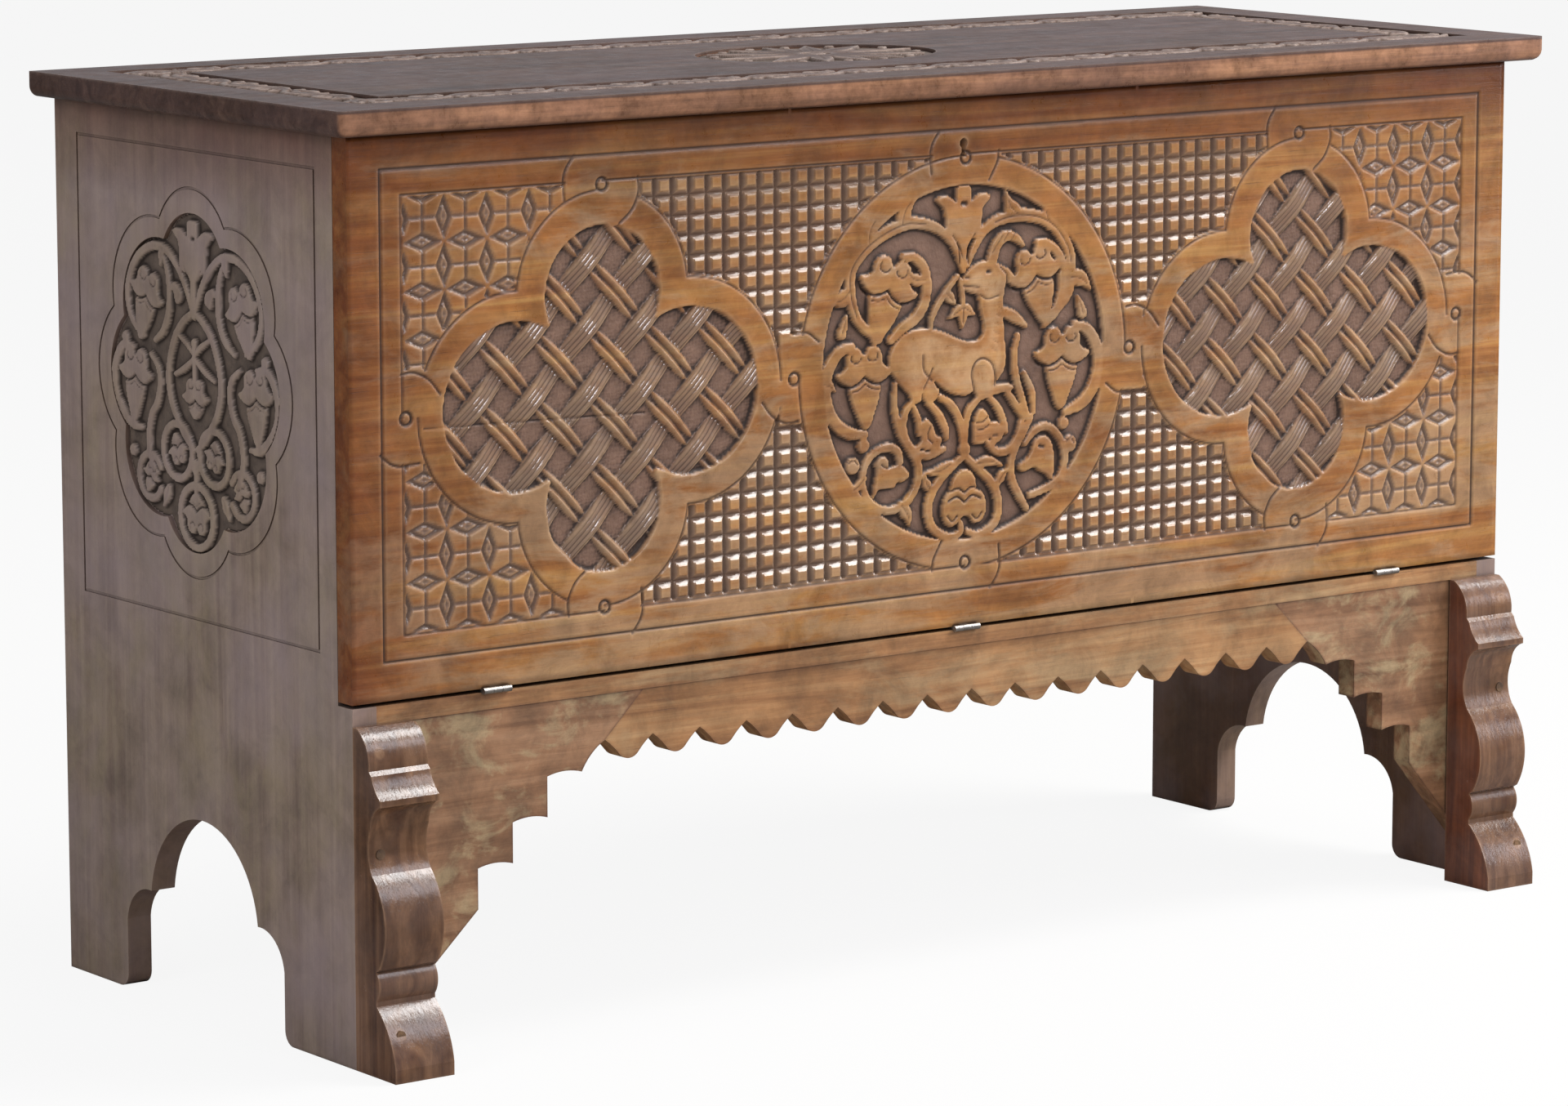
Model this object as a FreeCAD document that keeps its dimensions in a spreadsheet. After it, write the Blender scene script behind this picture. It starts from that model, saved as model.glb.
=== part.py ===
import FreeCAD, Part
import math
import os
import types
from FreeCAD import Placement, Rotation, Vector

# Driving sizes, in millimetres and degrees
SIZES = {
    # the case
    "BodyWidth": 1200,
    "BodyDepth": 440,
    "BodyHeight": 727,
    "SideThickness": 22,
    "BackThickness": 18,
    "FloorThickness": 14,
    "FloorTop": 285,
    "CleatSize": 20,
    "RailHeight": 30,
    # the arch cut in each side board
    "ArchShift": 5,
    "ArchHalfSpan": 82,
    "ArchSpring": 88,
    "ArchCrown": 160,
    "CoveReach": 39,
    "CoveDrop": 30,
    "ToeRadius": 12,
    # the eight-lobed recess on each side board
    "LobesShift": 8,
    "LobesRise": 7,
    "LobesHalfHeight": 136,
    "RecessDepth": 4,
    "LobeLineHalfHeight": 157,
    # the scored lines round the side's carving
    "SideLine": 2.5,
    "SideLineDepth": 1.2,
    "SideLineFromFront": 45,
    "SideLineFromBack": 34,
    "SideLineFromFloor": 37.6,
    "SideLineFromTop": 27,
    # the sawn apron under the floor
    "ApronThickness": 20,
    "ApronSet": 1.5,
    "SawShift": 9,
    "WingRun": 206.8,
    "ToothDepth": 17.5,
    "ApexDrop": 37.5,
    "JointRun": 38,
    "StepStart": 22.5,
    "StepDrop": 23,
    "StepWidth": 33.2,
    "StepRise": 32.8,
    "StepCove": 2.5,
    "BraceFoot": 25,
    # the shaped brackets on the front feet
    "BracketWidth": 54,
    "FootReach": 56,
    "PegRadius": 4,
    "PegDepth": 30,
    # the lid
    "LidThickness": 21,
    "LidSideOverhang": 23,
    "LidFrontOverhang": 26,
    "LidSeat": 0.3,
    "LidNose": 9,
    "LidCorner": 6,
    "BattenWidth": 45,
    "BattenThickness": 18,
    "BattenMargin": 270,
    "BattenSetIn": 60,
    # the sunk border and rosette on the lid
    "LidSinkDepth": 3,
    "LidBorderFromFront": 20,
    "LidBorderFromBack": 40,
    "LidBorderFromEnd": 25,
    "LidBorderWidth": 50,
    "RosetteHalfLength": 110,
    "RosetteHalfDepth": 85,
    "RosetteShift": 15,
    # the fall front
    "DoorThickness": 20,
    "DoorGap": 3,
    "DoorTopGap": 1.5,
    "DoorSeat": 0.5,
    "FoilShift": 3.5,
    "FoilHalfWidth": 151,
    "FoilHalfHeight": 136,
    "FoilCuspAcross": 55.5,
    "FoilCuspRise": 61.8,
    "MedallionRadius": 147.4,
    # the straps woven across the quatrefoils and the beast and stems of the medallion
    "WeavePitch": 37,
    "RibWidth": 14.4,
    "StrapWidth": 16.8,
    "CarvingDrop": 0.8,
    "StemWidth": 9,
    "FrameFromEnd": 28.5,
    "FrameFromFoot": 29,
    "FrameFromTop": 24.5,
    "FrameLine": 3,
    "FrameLineDepth": 1.5,
    "KeyholePlace": -3.4,
    "KeyholeFromTop": 37.5,
    "KeyholeRadius": 3.5,
    "KeyholeDrop": 10,
    "KeyholeSlot": 3,
    # small butt hinges under the fall front
    "FrontHingeFromEnd": 132,
    "FrontHingeLength": 26,
    "FrontLeafDepth": 18,
    "FrontLeafThickness": 1.2,
    "FrontKnuckle": 2.6,
    "FrontPin": 1.2,
    "KnuckleStandOff": 0.2,
    "KnuckleGap": 0.3,
    "PinPlay": 0.06,
    # butt hinges on the back of the lid
    "LidHingeFromEnd": 190,
    "LidHingeLength": 60,
    "LidLeafHeight": 17,
    "BackLeafHeight": 30,
    "LidLeafThickness": 1.5,
    "LidKnuckle": 3.4,
    "LidPin": 1.6,
    # screws
    "ScrewHead": 2.8,
    "ScrewShank": 1.5,
    "FloorScrewLength": 10,
    "DoorScrewLength": 16,
    "LidScrewLength": 14,
    "LockScrewLength": 10,
    # the slotted stays
    "StayRadius": 180,
    "StayPivotSet": 10,
    "StayPinSet": 86,
    "StayWidth": 16,
    "StayThickness": 3,
    "StayStandOff": 1.8,
    "StayPlay": 0.3,
    "StayPin": 3,
    "StayHead": 6,
    "StayHeadHeight": 2,
    "StayFlange": 9,
    "EarThickness": 2,
    "EarHalfHeight": 14,
    "EarPlateWidth": 24,
    # the lock
    "LockPlateWidth": 90,
    "LockPlateHeight": 64,
    "LockSheet": 1.5,
    "LockCaseWidth": 66,
    "LockCaseDepth": 11.5,
    "LockCaseHeight": 61,
    "HookPlace": -14,
    "HookRise": 11.5,
    "HookOuter": 24,
    "HookInner": 18,
    "HookHub": 5,
    "HookPivot": 2,
    "HookSet": 4.5,
    "HookThickness": 3,
    "HookPlay": 0.6,
    "HookRestAngle": -50,
    "HookSweepAngle": 70,
    "HookArmAngle": 16,
    "StrikeThickness": 2,
    "StrikeHalfLength": 30,
    "StrikeWidth": 14,
    "MortiseDepth": 12,
}

# Bracket profile: shares of FootReach forward and of the bracket's height upward.
# Each step is an end point, or a point on the way and an end point for an arc.
BRACKET_SHARES = [
    [(0.10, 1.0)],
    [(0.33, 0.955), (0.40, 0.885)],
    [(0.46, 0.873)],
    [(0.55, 0.835), (0.68, 0.808)],
    [(0.68, 0.79)],
    [(0.50, 0.765), (0.42, 0.72)],
    [(0.35, 0.66), (0.45, 0.585)],
    [(0.77, 0.43), (0.61, 0.318)],
    [(0.53, 0.308)],
    [(0.61, 0.265), (0.53, 0.222)],
    [(0.53, 0.208)],
    [(0.86, 0.125), (1.0, 0.04)],
    [(1.0, 0.0)],
    [(0.0, 0.0)],
]
# Peg places on the bracket: shares of FootReach at the peg, and of the height
PEG_SHARES = [(0.36, 0.93), (0.38, 0.64), (0.85, 0.13)]
# The eight lobes: shares of LobesHalfHeight for each cusp and for each lobe's crown
LOBE_CUSP_SHARES = [(0.315, 0.822), (0.783, 0.325)]
LOBE_CROWN_SHARES = [(0.0, 1.0), (0.68, 0.695), (0.946, 0.0)]
# The weave: shares of WeavePitch that the ribs and the straps stand off each quatrefoil's centre
WEAVE_SHARES = {"left": (-0.158, -0.35), "right": (0.0, -0.18)}
# Ribs or straps on each side of a quatrefoil's centre
HALF_WEAVE = 3
# The medallion's carving: shares of MedallionRadius from its centre, across and up.
# The goat from its muzzle round by the back of the head, the legs and the back
GOAT_SHARES = [
    (-0.02, 0.463), (0.026, 0.517), (0.092, 0.551), (0.17, 0.56), (0.21, 0.65), (0.3, 0.71),
    (0.41, 0.66), (0.3, 0.64), (0.285, 0.503), (0.285, 0.429), (0.267, 0.334), (0.267, 0.259),
    (0.43, 0.18), (0.278, 0.19), (0.292, 0.01), (0.24, -0.11), (0.34, -0.16), (0.21, -0.2),
    (0.09, -0.21), (0.06, -0.165), (-0.078, -0.165), (-0.2, -0.12), (-0.22, -0.2), (-0.37, -0.2),
    (-0.45, -0.09), (-0.535, 0.035), (-0.48, 0.15), (-0.41, 0.2), (-0.3, 0.212), (-0.13, 0.171),
    (0.03, 0.113), (0.13, 0.15), (0.115, 0.27), (0.09, 0.38), (0.0, 0.41),
]
# The tulip over the goat
TULIP_SHARES = [
    (0.0, 0.52), (-0.1, 0.72), (-0.11, 0.86), (-0.19, 0.93), (-0.08, 0.95), (0.0, 0.99), (0.07, 0.95),
    (0.17, 0.92), (0.11, 0.86), (0.08, 0.72),
]
# Middle lines of the stems
STEM_SHARES = [
    [(-0.05, 0.6), (-0.17, 0.75), (-0.42, 0.8), (-0.71, 0.67), (-0.8, 0.43), (-0.68, 0.225), (-0.6, 0.17)],
    [(0.13, 0.73), (0.41, 0.8), (0.65, 0.71), (0.76, 0.52), (0.75, 0.35), (0.6, 0.23)],
    [(-0.51, 0.16), (-0.3, 0.35), (-0.29, 0.56), (-0.42, 0.65)],
    [(0.42, 0.23), (0.37, 0.46), (0.46, 0.64)],
    [(-0.82, 0.14), (-0.99, 0.0), (-0.96, -0.22), (-0.78, -0.345), (-0.7, -0.34)],
    [(0.82, 0.15), (0.97, 0.0), (0.92, -0.24), (0.74, -0.345)],
    [(-0.49, -0.1), (-0.48, -0.33), (-0.35, -0.51), (-0.37, -0.7)],
    [(0.38, 0.12), (0.36, -0.1), (0.45, -0.34)],
    [(-0.05, -0.54), (-0.26, -0.71), (-0.21, -0.94), (-0.03, -0.95)],
    [(0.05, -0.57), (0.22, -0.76), (0.17, -0.95), (0.02, -0.95)],
    [(-0.1, -0.2), (-0.02, -0.44), (-0.02, -0.55)],
    [(-0.42, -0.22), (-0.38, -0.45), (-0.12, -0.49)],
    [(0.1, -0.26), (0.27, -0.28), (0.3, -0.45), (0.1, -0.5)],
]
# Centres and outer radii of the round loops
LOOP_SHARES = [(-0.53, -0.6, 0.2), (0.56, -0.6, 0.19)]
# Tips and feet of the large leaves
LEAF_SHARES = [
    [(-0.6, 0.3), (-0.48, 0.62)], [(0.56, 0.32), (0.48, 0.62)], [(-0.66, -0.22), (-0.8, 0.08)],
    [(0.64, -0.22), (0.8, 0.08)], [(0.0, -0.88), (0.0, -0.64)], [(-0.57, -0.68), (-0.53, -0.5)],
    [(0.58, -0.68), (0.55, -0.5)],
]
# A leaf: shares of its length along it and to each side
LEAF_OUTLINE_SHARES = [
    (0.0, 0.0), (0.25, 0.3), (0.75, 0.42), (0.7, 0.16), (1.0, 0.0), (0.7, -0.16), (0.75, -0.42), (0.25, -0.3),
]
# A tooth of the apron: shares of the pitch across and of the depth down
TOOTH_FLANK_SHARES = [(0.17, 0.37), (0.30, 0.74)]
# The swelling from the last tooth to the first step: shares of StepStart back and StepDrop up
STEP_SWELL_SHARES = (0.35, 0.5)
# Screws: shares of a leaf's length, of a lid leaf's length, of the lock plate and of the strike
FRONT_SCREW_SHARE = 0.3
LID_SCREW_SHARE = 0.35
LOCK_SCREW_SHARE = 0.35
STRIKE_SCREW_SHARE = 0.82
# Teeth on each side of the middle, and steps in each wing
HALF_TEETH = 8
STEPS = 3

doc = FreeCAD.newDocument("Cassone")
sheet = doc.addObject("Spreadsheet::Sheet", "Sizes")
for row, (alias, number) in enumerate(SIZES.items(), start=1):
    sheet.set(f"A{row}", alias)
    sheet.set(f"B{row}", str(number))
    sheet.setAlias(f"B{row}", alias)
doc.recompute()
v = types.SimpleNamespace(**{alias: float(getattr(sheet, alias)) for alias in SIZES})

# Places worked out from the driving sizes, written as expressions on the sheet
FRONT = "(Sizes.FootReach - Sizes.BodyDepth - 2 * Sizes.LidKnuckle - Sizes.KnuckleStandOff) / 2"
INNER_X = "(Sizes.BodyWidth / 2 - Sizes.SideThickness)"
BACK_INNER = f"({FRONT} + Sizes.BodyDepth - Sizes.BackThickness)"
FLOOR_UNDER = "(Sizes.FloorTop - Sizes.FloorThickness)"
DOOR_BOTTOM = "(Sizes.FloorTop + Sizes.DoorGap)"
DOOR_TOP = "(Sizes.BodyHeight - Sizes.DoorTopGap)"
DOOR_BACK = f"({FRONT} + Sizes.DoorThickness)"
LID_UNDER = "(Sizes.BodyHeight + Sizes.LidSeat)"
APRON_BACK = f"({FRONT} + Sizes.ApronSet + Sizes.ApronThickness)"
BACK_FACE = f"({FRONT} + Sizes.BodyDepth)"
FRONT_AXIS_Y = f"({FRONT} - Sizes.FrontKnuckle - Sizes.KnuckleStandOff)"
FRONT_AXIS_Z = "(Sizes.FloorTop + Sizes.DoorGap / 2)"
LID_AXIS_Y = f"({BACK_FACE} + Sizes.LidKnuckle + Sizes.KnuckleStandOff)"
LID_AXIS_Z = LID_UNDER
DOOR_MIDDLE = f"(({DOOR_BOTTOM} + {DOOR_TOP}) / 2)"
FRAME_HALF = "(Sizes.BodyWidth / 2 - Sizes.FrameFromEnd)"
FOIL_PLACE = f"((Sizes.MedallionRadius + {FRAME_HALF}) / 2 + Sizes.FoilShift)"
KEYHOLE_Z = f"({DOOR_TOP} - Sizes.KeyholeFromTop)"
ARCH_MIDDLE = "(Sizes.BodyDepth / 2 + Sizes.ArchShift)"
LOBES_ACROSS = "(Sizes.BodyDepth / 2 + Sizes.LobesShift)"
LOBES_UP = "((Sizes.FloorTop + Sizes.BodyHeight) / 2 + Sizes.LobesRise)"
TEETH_END = f"({INNER_X} - Sizes.WingRun)"
APEX_Z = f"({FLOOR_UNDER} - Sizes.ApexDrop)"
LOCK_BACK = f"({DOOR_BACK} + Sizes.LockSheet)"
HOOK_Z = f"({DOOR_TOP} + Sizes.HookRise - Sizes.HookOuter)"
HOOK_Y = f"({DOOR_BACK} + Sizes.HookSet)"

TURNS = {
    "x": Rotation(Vector(0, 1, 0), 90),
    "-x": Rotation(Vector(0, 1, 0), -90),
    "y": Rotation(Vector(1, 0, 0), -90),
    "-y": Rotation(Vector(1, 0, 0), 90),
    "z": Rotation(),
    "-z": Rotation(Vector(1, 0, 0), 180),
}
SIDES = {"left": -1, "right": 1}
pieces = []


def value(expression):
    """The number that an expression on the sheet gives now."""
    return float(sheet.evalExpression(expression))


def keep(thing, label):
    """Name a finished piece and list it for writing."""
    thing.Label = label
    pieces.append(thing)
    return thing


def put(thing, base, turn="z"):
    """Turn a thing and tie its place to three expressions."""
    thing.Placement = Placement(Vector(0, 0, 0), TURNS[turn])
    for letter, expression in zip("xyz", base):
        thing.setExpression(f"Placement.Base.{letter}", expression)
    return thing


def block(name, sides, base):
    """A straight board: three expressions for its sides and three for its low corner."""
    box = doc.addObject("Part::Box", name)
    for side, expression in zip(("Length", "Width", "Height"), sides):
        box.setExpression(side, expression)
    return put(box, base)


def rod(name, radius, length, base, turn="z", angle=360):
    """A round bar, or a wedge of one, along the way that turn names."""
    bar = doc.addObject("Part::Cylinder", name)
    bar.setExpression("Radius", radius)
    bar.setExpression("Height", length)
    bar.Angle = angle
    return put(bar, base, turn)


def fuse(name, things):
    """One solid from several that meet."""
    joined = doc.addObject("Part::MultiFuse", name)
    joined.Shapes = things
    return joined


def group(name, things):
    """Separate solids under one name."""
    bundle = doc.addObject("Part::Compound", name)
    bundle.Links = things
    return bundle


def cut(name, base, tools):
    """A piece less its holes and recesses."""
    result = doc.addObject("Part::Cut", name)
    result.Base = base
    result.Tool = tools[0] if len(tools) == 1 else group(name + "_tools", tools)
    return result


def new_body(name, base=("0", "0", "0")):
    """An empty body with its place tied to three expressions."""
    return put(doc.addObject("PartDesign::Body", name), base)


def new_sketch(body, name, role):
    """A sketch on one of the body's own origin planes."""
    sketch = body.newObject("Sketcher::SketchObject", name)
    plane = [feature for feature in body.Origin.OriginFeatures if feature.Role == role][0]
    sketch.AttachmentSupport = (plane, [""])
    sketch.MapMode = "FlatFace"
    return sketch


def trace(sketch, start, steps):
    """Draw a closed outline: a step of one point is a line, a step of two is an arc."""
    here = start
    for step in steps + [[start]]:
        there = step[-1]
        if here == there:
            continue
        ends = [Vector(here[0], here[1], 0), Vector(there[0], there[1], 0)]
        if len(step) == 1:
            sketch.addGeometry(Part.LineSegment(*ends), False)
        else:
            via = Vector(step[0][0], step[0][1], 0)
            sketch.addGeometry(Part.Arc(ends[0], via, ends[1]), False)
        here = there
    return sketch


def pad(body, sketch, length, reverse=False):
    """Thicken a sketch by an expression and make it the body's tip."""
    feature = body.newObject("PartDesign::Pad", sketch.Name + "_pad")
    feature.Profile = sketch
    feature.setExpression("Length", length)
    feature.Reversed = reverse
    body.Tip = feature
    return feature


def pocket(body, sketch, depth, reverse=False):
    """Sink a sketch into the body by an expression."""
    feature = body.newObject("PartDesign::Pocket", sketch.Name + "_pocket")
    feature.Profile = sketch
    feature.setExpression("Length", depth)
    feature.Reversed = reverse
    body.Tip = feature
    return feature


def rectangle(x0, y0, x1, y1):
    """Start and steps of a rectangle, for trace."""
    return (x0, y0), [[(x1, y0)], [(x1, y1)], [(x0, y1)]]


def screw(name, base, turn, length, held):
    """A countersunk screw pointing along turn, its head as deep as the held sheet is thick."""
    head = doc.addObject("Part::Cone", name + "_head")
    head.setExpression("Radius1", "Sizes.ScrewHead")
    head.setExpression("Radius2", "Sizes.ScrewShank")
    head.setExpression("Height", held)
    put(head, base, turn)
    shank = rod(name + "_shank", "Sizes.ScrewShank", length, base, turn)
    return fuse(name, [head, shank])


def dowels(side):
    """Three wooden pegs through a bracket into the front edge of the side board."""
    sign = SIDES[side]
    pegs = []
    for number, (reach, rise) in enumerate(PEG_SHARES, start=1):
        x = f"{sign} * (Sizes.BodyWidth - Sizes.SideThickness) / 2"
        y = f"{FRONT} - Sizes.FootReach * {reach}"
        z = f"{FLOOR_UNDER} * {rise}"
        length = f"Sizes.FootReach * {reach} + Sizes.PegDepth"
        pegs.append(rod(f"peg_{side}_{number}", "Sizes.PegRadius", length, (x, y, z), "y"))
    return group(f"pegs_{side}", pegs)


def side_board(side, pegs):
    """An upright end of the case, arched at the floor and notched for the fall front."""
    sign = SIDES[side]
    inward = sign > 0
    body = new_body(f"side_{side}", (f"{sign} * Sizes.BodyWidth / 2", FRONT, "0"))
    seat = v.DoorThickness + v.DoorSeat
    quarter = math.sin(math.pi / 4)
    foot = v.ArchHalfSpan + v.CoveReach
    cove_foot = v.ArchSpring - v.CoveDrop
    mid = value(ARCH_MIDDLE)

    def arch_side(way):
        """Points of half the arch, from the floor up to the cusp."""
        toe = (mid + way * (foot + v.ToeRadius), 0)
        toe_via = (mid + way * (foot + v.ToeRadius * (1 - quarter)), v.ToeRadius * (1 - quarter))
        toe_top = (mid + way * foot, v.ToeRadius)
        cove_low = (mid + way * foot, cove_foot)
        cove_via = (mid + way * (v.ArchHalfSpan + v.CoveReach * quarter), cove_foot + v.CoveDrop * quarter)
        cusp = (mid + way * v.ArchHalfSpan, v.ArchSpring)
        return toe, toe_via, toe_top, cove_low, cove_via, cusp

    toe, toe_via, toe_top, cove_low, cove_via, cusp = arch_side(1)
    steps = [[(v.BodyDepth, v.BodyHeight)], [(v.BodyDepth, 0)], [toe], [toe_via, toe_top]]
    steps += [[cove_low], [cove_via, cusp]]
    toe, toe_via, toe_top, cove_low, cove_via, cusp = arch_side(-1)
    steps += [[(mid, v.ArchCrown), cusp], [cove_via, cove_low]]
    steps += [[toe_top], [toe_via, toe], [(0, 0)], [(0, v.FloorTop)], [(seat, v.FloorTop)]]
    outline = trace(new_sketch(body, f"side_{side}_outline", "YZ_Plane"), (seat, v.BodyHeight), steps)
    pad(body, outline, "Sizes.SideThickness", inward)
    lobes = new_sketch(body, f"side_{side}_lobes", "YZ_Plane")
    pocket(body, trace(lobes, *eight_lobes(v.LobesHalfHeight)), "Sizes.RecessDepth", not inward)
    lines = new_sketch(body, f"side_{side}_lines", "YZ_Plane")
    low = v.FloorTop + v.SideLineFromFloor
    for inset in (0, v.SideLine):
        trace(lines, *eight_lobes(v.LobeLineHalfHeight - inset))
        trace(lines, *rectangle(v.SideLineFromFront + inset, low + inset,
                                v.BodyDepth - v.SideLineFromBack - inset,
                                v.BodyHeight - v.SideLineFromTop - inset))
    pocket(body, lines, "Sizes.SideLineDepth", not inward)
    return keep(cut(f"{side}_side_board_cut", body, [pegs]), f"{side}_side_board")


def eight_lobes(unit):
    """Start and steps of the eight-lobed outline of a half height, from the cusp left of the top."""
    across = value(LOBES_ACROSS)
    up = value(LOBES_UP)

    def at(share):
        return (across + unit * share[0], up + unit * share[1])

    inner, outer = LOBE_CUSP_SHARES
    top, corner, flank = LOBE_CROWN_SHARES

    def flip(share, sideways, upright):
        return (share[0] * sideways, share[1] * upright)

    start = at(flip(inner, -1, 1))
    steps = [[at(top), at(inner)], [at(corner), at(outer)]]
    steps += [[at(flank), at(flip(outer, 1, -1))], [at(flip(corner, 1, -1)), at(flip(inner, 1, -1))]]
    steps += [[at(flip(top, 1, -1)), at(flip(inner, -1, -1))]]
    steps += [[at(flip(corner, -1, -1)), at(flip(outer, -1, -1))]]
    steps += [[at(flip(flank, -1, 1)), at(flip(outer, -1, 1))], [at(flip(corner, -1, 1)), start]]
    return start, steps


def bracket(side, pegs):
    """The shaped bracket that makes each front foot, profiled like a moulding."""
    sign = SIDES[side]
    body = new_body(f"bracket_{side}", (f"{sign} * Sizes.BodyWidth / 2", FRONT, "0"))
    rise = v.FloorTop - v.FloorThickness
    steps = [[(-v.FootReach * out, rise * up) for out, up in step] for step in BRACKET_SHARES]
    outline = trace(new_sketch(body, f"bracket_{side}_outline", "YZ_Plane"), (0, rise), steps)
    pad(body, outline, "Sizes.BracketWidth", sign > 0)
    keep(cut(f"bracket_{side}_cut", body, [pegs]), f"bracket_leg_{side}")
    return keep(pegs, f"bracket_pegs_{side}")


def apron_centre():
    """The toothed middle board of the apron."""
    body = new_body("apron_middle", ("Sizes.SawShift", f"{FRONT} + Sizes.ApronSet", "0"))
    half = value(TEETH_END)
    pitch = half / HALF_TEETH
    top = v.FloorTop - v.FloorThickness
    level = value(APEX_Z)
    joint = half - v.JointRun
    steps = [[(joint, top)], [(half, level)]]
    for number in range(2 * HALF_TEETH):
        apex = half - number * pitch
        right = [(apex - pitch * a, level - v.ToothDepth * d) for a, d in TOOTH_FLANK_SHARES]
        next_apex = apex - pitch
        left = [(next_apex + pitch * a, level - v.ToothDepth * d) for a, d in TOOTH_FLANK_SHARES]
        tip = (apex - pitch / 2, level - v.ToothDepth)
        steps += [right, [tip, left[1]], [left[0], (next_apex, level)]]
    outline = trace(new_sketch(body, "apron_middle_outline", "XZ_Plane"), (-joint, top), steps)
    pad(body, outline, "Sizes.ApronThickness", True)
    return keep(body, "apron_centre")


def apron_wing(side):
    """A stepped end board of the apron, braced down to the foot."""
    sign = SIDES[side]
    body = new_body(f"wing_{side}", ("Sizes.SawShift", f"{FRONT} + Sizes.ApronSet", "0"))
    half = value(TEETH_END)
    top = v.FloorTop - v.FloorThickness
    end = value(INNER_X) - sign * v.SawShift
    nose = half + v.StepStart
    level = value(APEX_Z) - v.StepDrop
    back, up = STEP_SWELL_SHARES
    swell = (nose - v.StepStart * back, level + v.StepDrop * up)
    steps = [[(half, value(APEX_Z))], [swell, (nose, level)]]
    for _ in range(STEPS):
        steps.append([(nose + v.StepWidth / 2, level + v.StepCove), (nose + v.StepWidth, level)])
        nose += v.StepWidth
        level -= v.StepRise
        steps.append([(nose, level)])
    steps += [[(end, v.BraceFoot)], [(end, top)]]
    start = (half - v.JointRun, top)
    flipped = [[(sign * x, z) for x, z in step] for step in steps]
    outline = trace(new_sketch(body, f"wing_{side}_outline", "XZ_Plane"), (sign * start[0], top), flipped)
    pad(body, outline, "Sizes.ApronThickness", True)
    return keep(body, f"apron_wing_{side}")


def case_boards(floor_screws, back_screws):
    """Back, floor, the cleats under the floor and the rail behind the apron."""
    clear_width = f"2 * {INNER_X}"
    back_low = f"({FLOOR_UNDER} - Sizes.CleatSize)"
    back = block("back", (clear_width, "Sizes.BackThickness", f"Sizes.BodyHeight - {back_low}"),
                 (f"-{INNER_X}", BACK_INNER, back_low))
    keep(cut("back_cut", back, [back_screws]), "back_board")
    floor = block("floor", (clear_width, f"{BACK_INNER} - {FRONT}", "Sizes.FloorThickness"),
                  (f"-{INNER_X}", FRONT, FLOOR_UNDER))
    keep(cut("floor_cut", floor, [floor_screws]), "floor_board")
    rail_back = f"({APRON_BACK} + Sizes.CleatSize)"
    rail = block("rail", (clear_width, "Sizes.CleatSize", "Sizes.RailHeight"),
                 (f"-{INNER_X}", APRON_BACK, f"{FLOOR_UNDER} - Sizes.RailHeight"))
    keep(rail, "apron_rail")
    for side, sign in SIDES.items():
        low_x = f"-{INNER_X}" if sign < 0 else f"{INNER_X} - Sizes.CleatSize"
        cleat = block(f"cleat_{side}",
                      ("Sizes.CleatSize", f"{BACK_INNER} - {rail_back}", "Sizes.CleatSize"),
                      (low_x, rail_back, f"{FLOOR_UNDER} - Sizes.CleatSize"))
        keep(cleat, f"floor_cleat_{side}")


def lid(cutters):
    """The lid board, rounded under its front and ends, with its two battens."""
    body = new_body("lid", ("0", FRONT, LID_UNDER))
    half = v.BodyWidth / 2 + v.LidSideOverhang
    near = -v.LidFrontOverhang
    corner = v.LidCorner
    inset = corner * (1 - math.sin(math.pi / 4))
    steps = [[(half, v.BodyDepth)], [(half, near + corner)]]
    steps += [[(half - inset, near + inset), (half - corner, near)]]
    steps += [[(corner - half, near)], [(inset - half, near + inset), (-half, near + corner)]]
    outline = trace(new_sketch(body, "lid_outline", "XY_Plane"), (-half, v.BodyDepth), steps)
    board = pad(body, outline, "Sizes.LidThickness")
    doc.recompute()
    low = board.Shape.BoundBox.ZMin
    under = []
    for number, edge in enumerate(board.Shape.Edges, start=1):
        box = edge.BoundBox
        at_rear = box.YMin > board.Shape.BoundBox.YMax - corner
        if box.ZMax < low + corner / 2 and not at_rear:
            under.append(f"Edge{number}")
    nose = body.newObject("PartDesign::Fillet", "lid_nose")
    nose.Base = (board, under)
    nose.setExpression("Radius", "Sizes.LidNose")
    body.Tip = nose
    keep(cut("lid_cut", body, cutters + lid_fields()), "lid_board")
    length = f"{BACK_INNER} - {FRONT} - 2 * Sizes.BattenSetIn"
    for side, sign in SIDES.items():
        batten = block(f"batten_{side}", ("Sizes.BattenWidth", length, "Sizes.BattenThickness"),
                       (f"{sign} * (Sizes.BodyWidth / 2 - Sizes.BattenMargin) - Sizes.BattenWidth / 2",
                        f"{FRONT} + Sizes.BattenSetIn", f"{LID_UNDER} - Sizes.BattenThickness"))
        keep(batten, f"lid_batten_{side}")


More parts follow.
